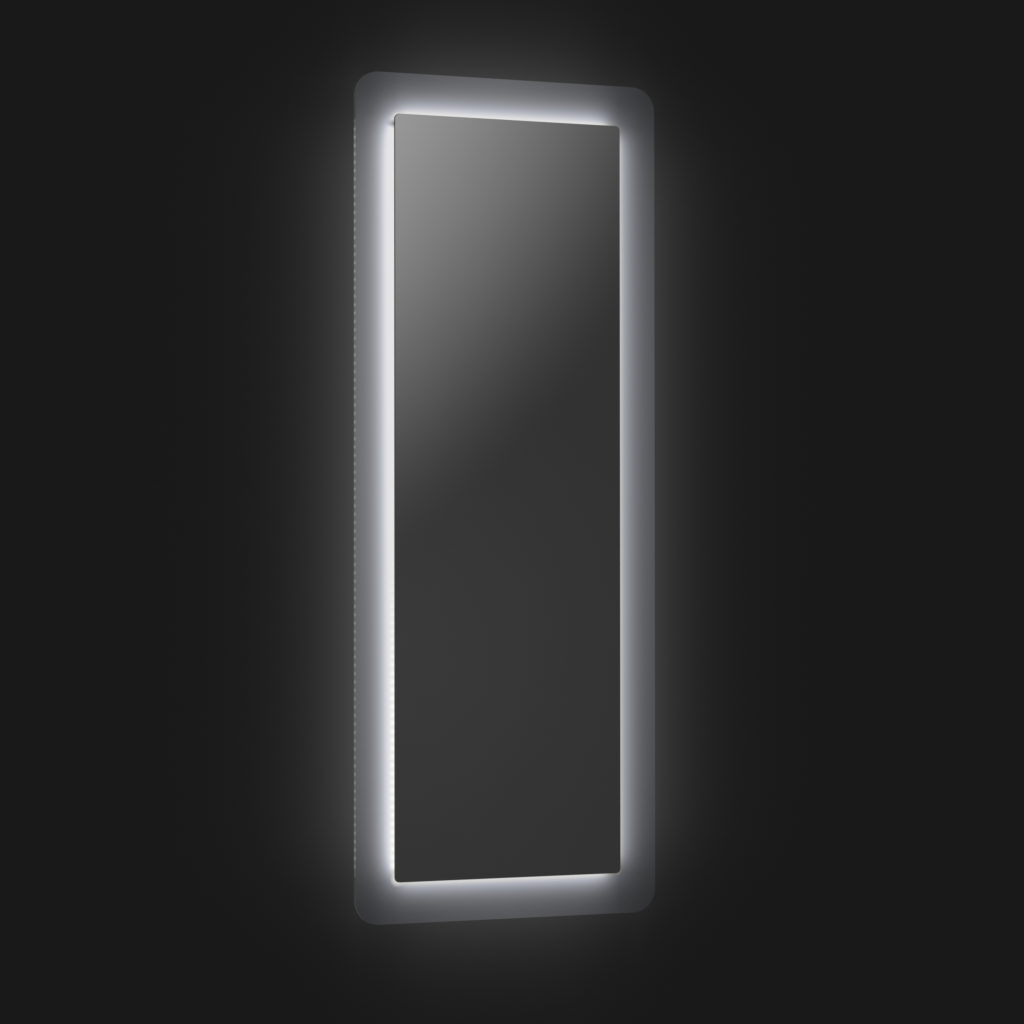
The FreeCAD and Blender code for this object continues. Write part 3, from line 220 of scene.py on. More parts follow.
HALO_PAIRS = (
    # across, along, half across to the brightest place, half of the tape, share at the lower or left
    # side, share at the other
    ("X", "Z", PLATE_X - HALO_INSET, TAPE_Z, 1.0, 1.15),
    ("Z", "X", PLATE_Z - HALO_INSET, TAPE_X, 0.8, 1.0),
)
dark_wall, tree = new_material("dark_wall_with_halo")
spot = add(tree, COORDINATES).outputs["Object"]
place = add(tree, VECTOR, {0: spot, 1: (0, 0, -MIDDLE_Z)}, "ADD")
place = add(tree, SPLIT, {0: place})
shares = []
for across, along, bright_half, tape_half, minus, plus in HALO_PAIRS:
    away = add(tree, MATH, {0: place.outputs[across]}, "ABSOLUTE")
    away = add(tree, MATH, {0: away, 1: bright_half}, "SUBTRACT")
    away = add(tree, MATH, {0: away}, "ABSOLUTE")
    fall = add(tree, MATH, {0: away, 1: -1 / HALO_REACH}, "MULTIPLY")
    fall = add(tree, MATH, {0: fall}, "EXPONENT")
    past = add(tree, MATH, {0: place.outputs[along]}, "ABSOLUTE")
    past = add(tree, MATH, {0: past, 1: 1 / HALO_END, 2: -tape_half / HALO_END}, "MULTIPLY_ADD")
    past = add(tree, MATH, {0: past}, "EXPONENT")
    past = add(tree, MATH, {0: past, 1: 1.0}, "ADD")
    fall = add(tree, MATH, {0: fall, 1: past}, "DIVIDE")
    hand = add(tree, MATH, {0: place.outputs[across], 1: 0.0}, "GREATER_THAN")
    share = add(tree, RANGE, {0: hand, 3: minus * HALO_LIGHT, 4: plus * HALO_LIGHT})
    share = add(tree, MATH, {0: fall, 1: share}, "MULTIPLY")
    shares.append(share)
glow = add(tree, MATH, {0: shares[0], 1: shares[1]}, "ADD")
glow = add(tree, MATH, {0: glow, 1: WALL_LIGHT}, "ADD")
paint = add(tree, "ShaderNodeEmission", {"Color": linear("#FFFFFF"), "Strength": glow})
add(tree, "ShaderNodeOutputMaterial", {"Surface": clear_behind(tree, paint)})
for thing in (wall, open_wall):
    thing.data.materials.append(dark_wall)
print("stage:", wall.name, open_wall.name)

# %% [markdown]
# ## What the mirror sees
# A mirror shows what stands opposite it, so that is part of its look. A plain dim surround, which
# only reflections meet, stands there. One large round light with a soft edge gives the pane its
# grey sweep from the upper left, and a weak one a breath of light lower down. A second large
# light does the same for a look from the right.

# %% Surround for reflections
ROOM_X, ROOM_Y, ROOM_LOW, ROOM_HIGH = 14.0, -8.0, -6.0, 8.0
room_plan = ((-ROOM_X, 0), (-ROOM_X, ROOM_Y), (ROOM_X, ROOM_Y), (ROOM_X, 0))
room = stage_mesh(
    "surround",
    [(x, y, z) for z in (ROOM_LOW, ROOM_HIGH) for x, y in room_plan],
    [(0, 1, 5, 4), (1, 2, 6, 5), (2, 3, 7, 6), (0, 3, 2, 1), (4, 5, 6, 7)],
)
for ray in ("camera", *UNSEEN):
    setattr(room, f"visible_{ray}", False)
ROOM_LIGHT, SOFT_LIGHT, LOW_LIGHT = 0.0368, 0.396, 0.0108
SOFT_PLACES = ((1.2345, ROOM_Y, 2.4262), (-6.2, ROOM_Y, 0.8))
SOFT_INNER, SOFT_OUTER = 1.774, 3.783  # full light within the first distance, none past the other
LOW_PLACE, LOW_REACH = (3.1606, ROOM_Y, -1.1433), 1.5045
dim_room, tree = new_material("dim_room_with_soft_light")
spot = add(tree, COORDINATES).outputs["Object"]
softs = []
for soft_place in SOFT_PLACES:
    soft = add(tree, VECTOR, {0: spot, 1: soft_place}, "DISTANCE")
    soft = {0: soft.outputs["Value"], 1: SOFT_INNER, 2: SOFT_OUTER, 3: SOFT_LIGHT, 4: 0.0}
    soft = add(tree, RANGE, soft, interpolation_type="SMOOTHSTEP")
    softs.append(soft)
low = add(tree, VECTOR, {0: spot, 1: LOW_PLACE}, "DISTANCE")
low = {0: low.outputs["Value"], 1: 0.0, 2: LOW_REACH, 3: ROOM_LIGHT + LOW_LIGHT, 4: ROOM_LIGHT}
low = add(tree, RANGE, low, interpolation_type="SMOOTHSTEP")
level = add(tree, MATH, {0: softs[0], 1: softs[1]}, "ADD")
level = add(tree, MATH, {0: level, 1: low}, "ADD")
shine = add(tree, "ShaderNodeEmission", {"Color": linear("#FFFFFF"), "Strength": level})
add(tree, "ShaderNodeOutputMaterial", {"Surface": shine})
room.data.materials.append(dim_room)
print("stage:", room.name)

# %% [markdown]
# ## Studio light
# Soft light from large lamps and a pale sky keeps colours as they are written. The lamps stay out of
# reflections, because a mirror would show them as bright squares and metal would clip to white. One
# weak lamp behind gives the metal its sheen. Where the camera, metal or glass looks past the stage,
# the world is a pale grey.

# %% World and lamps
SKY_LIGHT, SKY_SEEN = 0.65, 1.0  # strength as light on the object, and where it is looked at
bpy.context.scene.view_settings.view_transform = "Standard"
world = bpy.data.worlds.new("studio")
bpy.context.scene.world = world
world.use_nodes = True
tree = world.node_tree
tree.nodes.clear()
ray = add(tree, "ShaderNodeLightPath")
seen = [ray.outputs[kind] for kind in ("Is Camera Ray", "Is Glossy Ray", "Is Transmission Ray")]
past = add(tree, MATH, {0: seen[0], 1: seen[1]}, "MAXIMUM")
past = add(tree, MATH, {0: past, 1: seen[2]}, "MAXIMUM")
soft_sky = add(tree, "ShaderNodeBackground", {"Color": linear("#F4F6F8"), "Strength": SKY_LIGHT})
pale_sky = add(tree, "ShaderNodeBackground", {"Color": linear("#D9DBDD"), "Strength": SKY_SEEN})
sky = add(tree, "ShaderNodeMixShader", {0: past, 1: soft_sky, 2: pale_sky})
add(tree, "ShaderNodeOutputWorld", {"Surface": sky})

LAMP_AIM = Vector((0, 0, MIDDLE_Z))
LAMPS = {
    # place, size across, watts, seen in reflections
    "key": ((-2.6, -4.2, 1.6), 2.6, 77, False),
    "fill": ((3.2, -4.0, 0.4), 2.4, 35, False),
    "back_key": ((-2.5, 3.8, 1.8), 2.4, 66, False),
    "back_fill": ((3.0, 3.5, 0.6), 2.2, 40, False),
    "back_sheen": ((-1.4, 4.4, 1.5), 2.8, 30, True),
}
for name, (place, size, watts, in_reflections) in LAMPS.items():
    lamp_data = bpy.data.lights.new(name, "AREA")
    lamp_data.size = size
    lamp_data.energy = watts
    lamp = bpy.data.objects.new(name, lamp_data)
    lamp.location = place
    lamp.rotation_euler = (LAMP_AIM - Vector(place)).to_track_quat("-Z", "Y").to_euler()
    lamp.visible_glossy = in_reflections
    bpy.context.scene.collection.objects.link(lamp)
print(f"{len(LAMPS)} lamps")

# %% [markdown]
# ## Satin acrylic, lit through its edge
# The border is a 10 mm plate of satin acrylic. Light from the tapes enters its inner edge and
# leaves through the etched faces, strongest beside the pane and fading outwards, and less in the
# corners, which the tapes don't reach. What is left comes out at the polished outer edge, as a row
# of dots, one for each LED. A lamp inside a real translucent plate would be slow and noisy, so the
# glow is worked out from the place on the plate instead: how far it lies from the pane's edge and
# from the end of the tape. The tape is fed at its upper left end, so the left side is brightest,
# most so at its upper end, and the right side, last in the chain, is dimmest.

# %% Strength and reach of the light
SIDES = {
    # light at the lower or left end, at the other end, quick fall across the border, faint rest
    "left": (1.742, 2.515, mm(17.6), 0.0453),
    "right": (0.51, 0.579, mm(23.2), 0.0703),
    "bottom": (0.744, 0.865, mm(18.5), 0.0741),
    "top": (1.019, 1.031, mm(19.3), 0.0794),
}
TALL_ENDS, WIDE_ENDS = (mm(1.1), mm(4.4)), (mm(12.2), mm(-3.2))  # past the tape's ends
TAPE_BEHIND, END_SPREAD = mm(18.3), 0.74  # depth of the tape behind the pane's edge, blur farther out
GLOW_LIMIT, GLOW_KNEE = 0.78, 0.7  # where the light levels out beside the pane
LED_WAVE = 2 * math.pi / LED_PITCH
EDGE_SIDE = 0.3  # a face that looks less than this to the front or the back is an edge
EDGE_REST, DOT_GAP, DOT_PEAK, DOT_SHARPNESS = 0.035, 0.038, 0.055, 2.5  # the polished edge and its dots
SHIMMER, SHIMMER_REACH = 0.21, mm(13)  # the LEDs that show low on the left, beside the pane
SHIMMER_FULL, SHIMMER_START = mm(-400), mm(-100)  # full below the first height, none above the other
BEAD_SWING, BEAD_MEAN = 0.28, 0.65  # the shimmer's change from LED to LED
PANE_CORNER, RIM_WIDTH = mm(10), mm(17)  # light that leaks out round the pane
RIM_LEFT, RIM_RIGHT = 0.7, 0.2
JOINT_PLACE = (mm(12.7) - PANE_X, 0, TAPE_Z + mm(6))  # the feed joint, behind the pane
JOINT_REACH = (mm(34.5), 1, mm(12.3))  # how far its shadow goes across the border and along it
print(f"a dot every {1000 * LED_PITCH:.2f} mm, levelling out at {GLOW_LIMIT}")

# %% Light of one pair of sides


def side_light(tree, place, across, along, pane_half, tape_half, ends, minus, plus):
    """Light on the faces and on the outer edge from the two tapes that face along one axis."""
    out = add(tree, MATH, {0: place.outputs[across]}, "ABSOLUTE")
    out = add(tree, MATH, {0: out, 1: pane_half}, "SUBTRACT")
    far = add(tree, MATH, {0: out}, "ABSOLUTE")
    run = add(tree, MATH, {0: place.outputs[along]}, "ABSOLUTE")
    hand = add(tree, RANGE, {0: place.outputs[across], 1: -pane_half / 2, 2: pane_half / 2})
    # across the border: a quick fall and a faint rest
    rate = add(tree, RANGE, {0: hand, 3: -1 / minus[2], 4: -1 / plus[2]})
    fall = add(tree, MATH, {0: far, 1: rate}, "MULTIPLY")
    fall = add(tree, MATH, {0: fall}, "EXPONENT")
    faint = add(tree, RANGE, {0: hand, 3: minus[3], 4: plus[3]})
    fall = add(tree, MATH, {0: fall, 1: faint}, "ADD")
    # along it: the change from end to end, and the share of the light that goes past the tape's end
    strengths = []
    for low, high in (minus[:2], plus[:2]):
        strength = add(tree, RANGE, {0: place.outputs[along], 1: -tape_half, 2: tape_half, 3: low, 4: high})
        strengths.append(strength)
    strength = add(tree, MIX, {0: hand, 2: strengths[0], 3: strengths[1]})
    upper = add(tree, RANGE, {0: place.outputs[along], 1: -tape_half / 2, 2: tape_half / 2})
    stop = add(tree, RANGE, {0: upper, 3: tape_half + ends[0], 4: tape_half + ends[1]})
    past = add(tree, MATH, {0: run, 1: stop}, "SUBTRACT")
    deep = add(tree, MATH, {0: far, 1: END_SPREAD, 2: TAPE_BEHIND}, "MULTIPLY_ADD")
    past = add(tree, MATH, {0: past, 1: deep}, "ARCTAN2")
    past = add(tree, MATH, {0: past}, "SINE")
    share = add(tree, MATH, {0: past, 1: -0.5, 2: 0.5}, "MULTIPLY_ADD")
    face = add(tree, MATH, {0: fall, 1: share}, "MULTIPLY")
    face = add(tree, MATH, {0: face, 1: strength}, "MULTIPLY")
    # the polished outer edge: a dot for each LED, only where the tape runs
    dot = add(tree, MATH, {0: place.outputs[along], 1: LED_WAVE}, "MULTIPLY")
    dot = add(tree, MATH, {0: dot}, "COSINE")
    dot = add(tree, MATH, {0: dot, 1: 0.5, 2: 0.5}, "MULTIPLY_ADD")
    dot = add(tree, MATH, {0: dot, 1: DOT_SHARPNESS}, "POWER")
    dot = add(tree, MATH, {0: dot, 1: DOT_PEAK, 2: DOT_GAP}, "MULTIPLY_ADD")
    lit = add(tree, MATH, {0: out, 1: 0.0}, "GREATER_THAN")
    near = add(tree, RANGE, {0: run, 1: tape_half - LED_PITCH, 2: tape_half + LED_PITCH, 3: 1.0, 4: 0.0})
    lit = add(tree, MATH, {0: lit, 1: near}, "MULTIPLY")
    lit = add(tree, MATH, {0: lit, 1: strength}, "MULTIPLY")
    dot = add(tree, MATH, {0: dot, 1: lit}, "MULTIPLY")
    return face, dot


# %% Satin acrylic: how bright
# etched faces: soft sheen, no clear reflection; flame-polished edge: glossy; both glow
ACRYLIC_IOR = 1.49
# the dark grey base colour is painted shade: it stands for the dark wall and dim room that show through the
# translucent plate
satin_acrylic, tree, shader, spot = new_finish(
    "satin_acrylic_edge_lit", "#25262A", 0.45, IOR=ACRYLIC_IOR, Emission_Strength=1.0
)
flat = {0: spot, 1: (1, 0, 1), 2: (0, 0, -MIDDLE_Z)}  # the place with its depth left out
flat = add(tree, VECTOR, flat, "MULTIPLY_ADD")
place = add(tree, SPLIT, {0: flat})
facing = add(tree, SPLIT, {0: spot.node.outputs["Normal"]})
facing = add(tree, MATH, {0: facing.outputs["Y"]}, "ABSOLUTE")
on_edge = add(tree, MATH, {0: facing, 1: EDGE_SIDE}, "LESS_THAN")
tall_sides = side_light(tree, place, "X", "Z", PANE_X, TAPE_Z, TALL_ENDS, SIDES["left"], SIDES["right"])
wide_sides = side_light(tree, place, "Z", "X", PANE_Z, TAPE_X, WIDE_ENDS, SIDES["bottom"], SIDES["top"])
face = add(tree, MATH, {0: tall_sides[0], 1: wide_sides[0]}, "ADD")
face = add(tree, MATH, {0: face, 1: GLOW_LIMIT, 2: GLOW_KNEE}, "SMOOTH_MIN")
# low on the left the LEDs themselves shimmer through, beside the pane
beside = add(tree, MATH, {0: place.outputs["X"], 1: PANE_X}, "ADD")
beside = add(tree, MATH, {0: beside}, "ABSOLUTE")
beside = add(tree, RANGE, {0: beside, 2: SHIMMER_REACH, 3: 1.0, 4: 0.0}, interpolation_type="SMOOTHSTEP")
low = add(tree, RANGE, {0: place.outputs["Z"], 1: SHIMMER_FULL, 2: SHIMMER_START, 3: SHIMMER, 4: 0.0})
low = add(tree, MATH, {0: low, 1: beside}, "MULTIPLY")
reached = add(tree, MATH, {0: place.outputs["Z"], 1: -TAPE_Z}, "GREATER_THAN")
low = add(tree, MATH, {0: low, 1: reached}, "MULTIPLY")
bead = add(tree, MATH, {0: place.outputs["Z"], 1: LED_WAVE}, "MULTIPLY")
bead = add(tree, MATH, {0: bead}, "COSINE")
bead = add(tree, MATH, {0: bead, 1: BEAD_SWING, 2: BEAD_MEAN}, "MULTIPLY_ADD")
face = add(tree, MATH, {0: low, 1: bead, 2: face}, "MULTIPLY_ADD")
# a thin line of light follows the pane's outline, also round the corners; the feed joint shades it
outline = add(tree, VECTOR, {0: flat}, "ABSOLUTE")
corner = (PANE_X - PANE_CORNER, 0, PANE_Z - PANE_CORNER)
outline = add(tree, VECTOR, {0: outline, 1: corner}, "SUBTRACT")
outline = add(tree, VECTOR, {0: outline, 1: (0, 0, 0)}, "MAXIMUM")
outline = add(tree, VECTOR, {0: outline}, "LENGTH").outputs["Value"]
rim = add(tree, RANGE, {0: outline, 1: PANE_CORNER, 2: PANE_CORNER + RIM_WIDTH, 3: 1.0, 4: 0.0})
hand = add(tree, RANGE, {0: place.outputs["X"], 1: -PANE_X, 2: PANE_X, 3: RIM_LEFT, 4: RIM_RIGHT})
rim = add(tree, MATH, {0: rim, 1: hand}, "MULTIPLY")
rim = add(tree, MATH, {0: rim, 1: face}, "MAXIMUM")
joint = add(tree, VECTOR, {0: flat, 1: JOINT_PLACE}, "SUBTRACT")
joint = add(tree, VECTOR, {0: joint, 1: JOINT_REACH}, "DIVIDE")
joint = add(tree, VECTOR, {0: joint}, "LENGTH")
joint = add(tree, RANGE, {0: joint.outputs["Value"]}, interpolation_type="SMOOTHSTEP")
face = add(tree, MATH, {0: rim, 1: joint}, "MULTIPLY")
edge = add(tree, MATH, {0: tall_sides[1], 1: wide_sides[1]}, "ADD")
edge = add(tree, MATH, {0: edge, 1: EDGE_REST}, "ADD")
light = add(tree, MIX, {0: on_edge, 2: face, 3: edge})
print(f"{len(tree.nodes)} nodes work out the light")

# %% Satin acrylic: colour and gloss
# white where the light is strong or close to the pane, bluish farther out, paler towards the outer edge
WHITE_FROM, WHITE_FULL = 0.48, 0.86  # strength of the light
CLOSE_TO, CLOSE_END = PANE_CORNER + mm(3), PANE_CORNER + mm(12)
OUTER_FROM, OUTER_FULL = PANE_CORNER + mm(26), PANE_CORNER + mm(42)
ETCH = mm(1.5)  # really finer than a tenth of a millimetre, drawn coarser so that it shows
ETCH_LEAST, ETCH_MOST, POLISHED = 0.38, 0.52, 0.12  # roughness of the faces, from and to, and of the edge
close = add(tree, RANGE, {0: outline, 1: CLOSE_TO, 2: CLOSE_END, 3: 1.0, 4: 0.0})
core = add(tree, RANGE, {0: face, 1: WHITE_FROM, 2: WHITE_FULL})
core = add(tree, MATH, {0: core, 1: close}, "MAXIMUM")
outer = add(tree, RANGE, {0: outline, 1: OUTER_FROM, 2: OUTER_FULL})
hue = add(tree, MIX, {0: outer, 6: linear("#EFF2FF"), 7: linear("#F2F3FA")}, data_type="RGBA")
hue = add(tree, MIX, {0: core, 6: hue.outputs[2], 7: linear("#FFFEFD")}, data_type="RGBA")
hue = add(tree, MIX, {0: on_edge, 6: hue.outputs[2], 7: linear("#FFFEFB")}, data_type="RGBA")
light = add(tree, VECTOR, {0: hue.outputs[2], "Scale": light}, "SCALE")
etch = add(tree, NOISE, {"Vector": spot, "Scale": 1 / ETCH, "Detail": 2.0})
gloss = add(tree, RANGE, {0: etch, 3: ETCH_LEAST, 4: ETCH_MOST})
gloss = add(tree, MIX, {0: on_edge, 2: gloss, 3: POLISHED})
plug(shader, Emission_Color=light, Roughness=gloss)
wear(satin_acrylic, "light_frame")

# %% [markdown]
# ## Silvered float glass
# A mirror is clear float glass with silver and paint on its back. Seen from the front, the silver
# reflects nearly everything, so the front is a metal with a very low roughness and a trace of
# wiped haze, and the small bevel shows the same silver through the glass. The polished edge is
# bare glass, dark and slightly green, which catches the light of the border beside it. Two masks
# from the face's direction part the front and the painted back from the edge.

# %% Silvered glass
FRONT_FACING, BACK_FACING = -0.5, 0.95  # how far a face looks to the wall
HAZE, HAZE_MOST, BARE_EDGE = mm(120), 0.02, 0.2  # size of the wiped patches, roughness of silver and edge
silvered_glass, tree, shader, spot = new_finish("silvered_float_glass", "#F0F0F0", 0.01)
facing = add(tree, SPLIT, {0: spot.node.outputs["Normal"]})
front = add(tree, MATH, {0: facing.outputs["Y"], 1: FRONT_FACING}, "LESS_THAN")
back = add(tree, MATH, {0: facing.outputs["Y"], 1: BACK_FACING}, "GREATER_THAN")
haze = add(tree, NOISE, {"Vector": spot, "Scale": 1 / HAZE, "Detail": 4.0})
silver = add(tree, MIX, {0: haze, 6: linear("#EDEDED"), 7: linear("#F2F2F2")}, data_type="RGBA")
colour = add(tree, MIX, {0: front, 6: linear("#41463F"), 7: silver.outputs[2]}, data_type="RGBA")
colour = add(tree, MIX, {0: back, 6: colour.outputs[2], 7: linear("#5B6166")}, data_type="RGBA")
plug(shader, Base_Color=colour.outputs[2], Metallic=front)
gloss = add(tree, RANGE, {0: haze, 3: 0.0, 4: HAZE_MOST})
gloss = add(tree, MIX, {0: front, 2: BARE_EDGE, 3: gloss})
plug(shader, Roughness=gloss)
wear(silvered_glass, "mirror_glass")

# %% [markdown]
# ## Woven safety film
# A sheet of woven film is glued to the back of the pane, so that broken glass stays together. Its
# flat threads cross over and under. Two wave patterns, one for each direction, give the lines, and
# their product gives the bumps where threads cross. A Wave texture of scale 1 repeats every tenth
# of pi metres, so the thread spacing sets the scale.

# %% Safety film
THREAD = mm(2.6)  # really about 1 mm, drawn coarser so that it shows
THREAD_RISE, CLOUD, CLOUD_SHARE = mm(0.2), mm(60), 0.5  # rise of a crossing, size and share of clouds
safety_film, tree, shader, spot = new_finish("woven_polypropylene_film", "#CDD0CE", 0.45)
waves = {"Scale": math.pi / 10 / THREAD, "Vector": spot}
weft = add(tree, "ShaderNodeTexWave", waves, wave_type="BANDS", bands_direction="Z")
warp = add(tree, "ShaderNodeTexWave", waves, wave_type="BANDS", bands_direction="X")
weave = add(tree, MATH, {0: weft.outputs["Fac"], 1: warp.outputs["Fac"]}, "MULTIPLY")
cloud = add(tree, NOISE, {"Vector": spot, "Scale": 1 / CLOUD, "Detail": 2.0})
shade = add(tree, MATH, {0: cloud, 1: CLOUD_SHARE, 2: weave}, "MULTIPLY_ADD")
tint = add(tree, MIX, {0: shade, 6: linear("#BFC4C3"), 7: linear("#D8DAD7")}, data_type="RGBA")
bump = add(tree, "ShaderNodeBump", {"Strength": 0.5, "Distance": THREAD_RISE, "Height": weave})
gloss = add(tree, RANGE, {0: weave, 3: 0.55, 4: 0.38})
plug(shader, Base_Color=tint.outputs[2], Roughness=gloss, Normal=bump)
wear(safety_film, "backing_film")

# %% [markdown]
# ## Extruded aluminium
# The rails, bars and cleats are cut from extruded lengths. The die leaves fine lines along the
# length, which stretch the highlights. Noise squeezed along the run of the piece makes such lines,
# so the upright and the level pieces each get their own copy. A Bevel node rounds the light on the
# edges, as deburring does on the real ones, without changing the shape.

# %% Extruded aluminium
DIE_LINE, LINE_LENGTH, LINE_DEPTH = mm(1.2), mm(400), mm(0.1)  # die lines drawn about four times too wide
DULL_PATCH, EASED_EDGE = mm(45), mm(0.5)
RUNS = {
    "extruded_aluminium_upright": (1 / DIE_LINE, 1 / DIE_LINE, 1 / LINE_LENGTH),
    "extruded_aluminium_level": (1 / LINE_LENGTH, 1 / DIE_LINE, 1 / DIE_LINE),
}
extruded = {}
for name, squeeze in RUNS.items():
    extruded[name], tree, shader, spot = new_finish(name, "#BFC3C6", 0.35, Metallic=1.0)
    drawn = add(tree, "ShaderNodeMapping", {"Vector": spot, "Scale": squeeze})
    line = add(tree, NOISE, {"Vector": drawn, "Scale": 1.0, "Detail": 3.0})
    dull = add(tree, NOISE, {"Vector": spot, "Scale": 1 / DULL_PATCH, "Detail": 3.0})
    shade = add(tree, MATH, {0: line, 1: dull}, "MULTIPLY")
    shade = add(tree, RANGE, {0: shade, 1: 0.12, 2: 0.4})
    tint = add(tree, MIX, {0: shade, 6: linear("#ADB2B6"), 7: linear("#CED1D3")}, data_type="RGBA")
    gloss = add(tree, RANGE, {0: shade, 3: 0.44, 4: 0.28})
    eased = add(tree, "ShaderNodeBevel", {"Radius": EASED_EDGE}, samples=4)
    bump = {"Strength": 0.25, "Distance": LINE_DEPTH, "Height": line, "Normal": eased}
    bump = add(tree, "ShaderNodeBump", bump)
    plug(shader, Base_Color=tint.outputs[2], Roughness=gloss, Normal=bump)
wear(extruded["extruded_aluminium_upright"], "chassis_left", "chassis_right")
wear(
    extruded["extruded_aluminium_level"],
    "chassis_top", "chassis_bottom", "crossbar_upper", "crossbar_lower",
    "hanging_cleat", "wall_cleat", "corner_keys",
)

# %% [markdown]
# ## Zinc-plated steel and brass
# Screws and foot stems are zinc plated: a bright grey with cloudy patches and a trace of yellow
# from the passivation. The foot inserts are turned brass. Both are metals with patchy noise in
# colour and gloss, at a patch size of a few millimetres.

# %% Plated steel and brass
PLATED_EDGE = mm(0.25)  # eased by the plating
PLATED = {
    # patch size, the two colours, roughness from and to
    "zinc_plated_steel": (mm(4), "#C6CBCE", "#B7B4A4", 0.24, 0.4),
    "turned_brass": (mm(2.5), "#D0AE66", "#B08A42", 0.2, 0.36),
}
plated = {}
for name, (patch, bright, aged, least, most) in PLATED.items():
    plated[name], tree, shader, spot = new_finish(name, bright, least, Metallic=1.0)
    cloud = add(tree, NOISE, {"Vector": spot, "Scale": 1 / patch, "Detail": 3.0})
    cloud = add(tree, RANGE, {0: cloud, 1: 0.35, 2: 0.7})
    tint = add(tree, MIX, {0: cloud, 6: linear(bright), 7: linear(aged)}, data_type="RGBA")
    gloss = add(tree, RANGE, {0: cloud, 3: least, 4: most})
    eased = add(tree, "ShaderNodeBevel", {"Radius": PLATED_EDGE}, samples=4)
    plug(shader, Base_Color=tint.outputs[2], Roughness=gloss, Normal=eased)
wear(plated["zinc_plated_steel"], "foot_stem_left", "foot_stem_right")
wear(plated["turned_brass"], "foot_inserts")

# %% [markdown]
# ## Powder coat and moulded plastics
# The gear tray is sheet steel with a baked powder coat, which dries to a faint orange peel. The
# driver, the terminal box and the clips are moulded, with the fine spark-eroded grain of their
# moulds, and the grommets and foot pads are rubber with a dusty bloom. They differ in grain size,
# colour and gloss only, so one loop builds them from a table.

# %% Coated and moulded finishes
DUST = mm(35)  # size of the dusty patches
GRAINED = {
    # grain size, grain height, the two colours, roughness from and to, eased edge, nodes that wear it
    "powder_coated_sheet_steel": (
        mm(2.2), mm(0.10), "#D9DBDA", "#E1E2E0", 0.42, 0.55, mm(0.8),
        ["gear_tray"],
    ),
    "moulded_polycarbonate_white": (
        mm(1.2), mm(0.05), "#E3E3DE", "#EBEBE7", 0.40, 0.52, mm(1.2),
        ["driver_case"],
    ),
    "moulded_abs_grey": (
        mm(1.2), mm(0.06), "#A4A8AA", "#B0B3B4", 0.45, 0.6, mm(0.8),
        ["driver_cap_led", "driver_cap_mains", "terminal_box", "terminal_lid"],
    ),
    "moulded_nylon_natural": (
        mm(1.5), mm(0.03), "#DEDBCF", "#E8E6DC", 0.35, 0.5, mm(0.4),
        ["lead_clips", "terminal_block"],
    ),
    "epdm_rubber": (
        mm(1.0), mm(0.05), "#232526", "#34373A", 0.62, 0.8, mm(0.5),
        ["cable_grommet", "lead_grommets", "foot_pad_left", "foot_pad_right"],
    ),
    "pvc_sheathed_lead": (
        mm(6), mm(0.05), "#DAD8D1", "#E6E4DE", 0.38, 0.5, mm(0.2),
        ["mains_lead", "led_lead"],
    ),
    "closed_cell_foam": (mm(1.6), mm(0.3), "#66676B", "#78797D", 0.8, 0.95, mm(0.3), ["mounting_tape"]),
    "potted_windings": (mm(1.4), mm(0.2), "#3A3430", "#5A4A3C", 0.45, 0.7, mm(0.5), ["driver_components"]),
}
for name, (grain, height, dark, pale, least, most, edge_size, wearers) in GRAINED.items():
    finish, tree, shader, spot = new_finish(name, pale, least)
    peel = add(tree, NOISE, {"Vector": spot, "Scale": 1 / grain, "Detail": 2.0})
    cloud = add(tree, NOISE, {"Vector": spot, "Scale": 1 / DUST, "Detail": 3.0})
    shade = add(tree, MATH, {0: peel, 1: cloud}, "ADD")
    shade = add(tree, RANGE, {0: shade, 1: 0.7, 2: 1.3})
    tint = add(tree, MIX, {0: shade, 6: linear(dark), 7: linear(pale)}, data_type="RGBA")
    gloss = add(tree, RANGE, {0: peel, 1: 0.3, 2: 0.7, 3: least, 4: most})
    eased = add(tree, "ShaderNodeBevel", {"Radius": edge_size}, samples=4)
    bump = {"Strength": 0.6, "Distance": height, "Height": peel, "Normal": eased}
    bump = add(tree, "ShaderNodeBump", bump)
    plug(shader, Base_Color=tint.outputs[2], Roughness=gloss, Normal=bump)
    wear(finish, *wearers)

# %% [markdown]
# ## LED tape and driver board
# The tape is a white-lacquered flexible board that can be cut after every third LED, where two
# copper pads cross it. The driver's board is green fibreglass with lighter copper tracks under the
# lacquer. Both patterns repeat along the board, so they come from the remainder of the place along
# it. The pads are worked out along both axes at once: across the tape that remainder never meets
# the pad, so one finish serves the upright and the level tapes.

# %% LED tape
CUT_LENGTH, PAD_HALF, LACQUER = 3 * LED_PITCH, mm(1.4), mm(3)
led_tape, tree, shader, spot = new_finish("white_lacquered_led_tape", "#EDEDE8", 0.4)
place = add(tree, VECTOR, {0: spot, 1: (0, 0, -MIDDLE_Z)}, "ADD")
place = add(tree, SPLIT, {0: place})
pads = []
for along in ("X", "Z"):
    pad = add(tree, MATH, {0: place.outputs[along], 1: CUT_LENGTH}, "FLOORED_MODULO")
    pad = add(tree, MATH, {0: pad, 1: CUT_LENGTH / 2, 2: PAD_HALF}, "COMPARE")
    pads.append(pad)
pad = add(tree, MATH, {0: pads[0], 1: pads[1]}, "MAXIMUM")
lacquer = add(tree, NOISE, {"Vector": spot, "Scale": 1 / LACQUER, "Detail": 2.0})
tint = add(tree, MIX, {0: lacquer, 6: linear("#E4E4DE"), 7: linear("#F0F0EC")}, data_type="RGBA")
tint = add(tree, MIX, {0: pad, 6: tint.outputs[2], 7: linear("#C98F5A")}, data_type="RGBA")
gloss = add(tree, RANGE, {0: lacquer, 3: 0.34, 4: 0.46})
plug(shader, Base_Color=tint.outputs[2], Roughness=gloss, Metallic=pad)
wear(led_tape, "led_tape_left", "led_tape_right", "led_tape_top", "led_tape_bottom", "corner_jumpers")

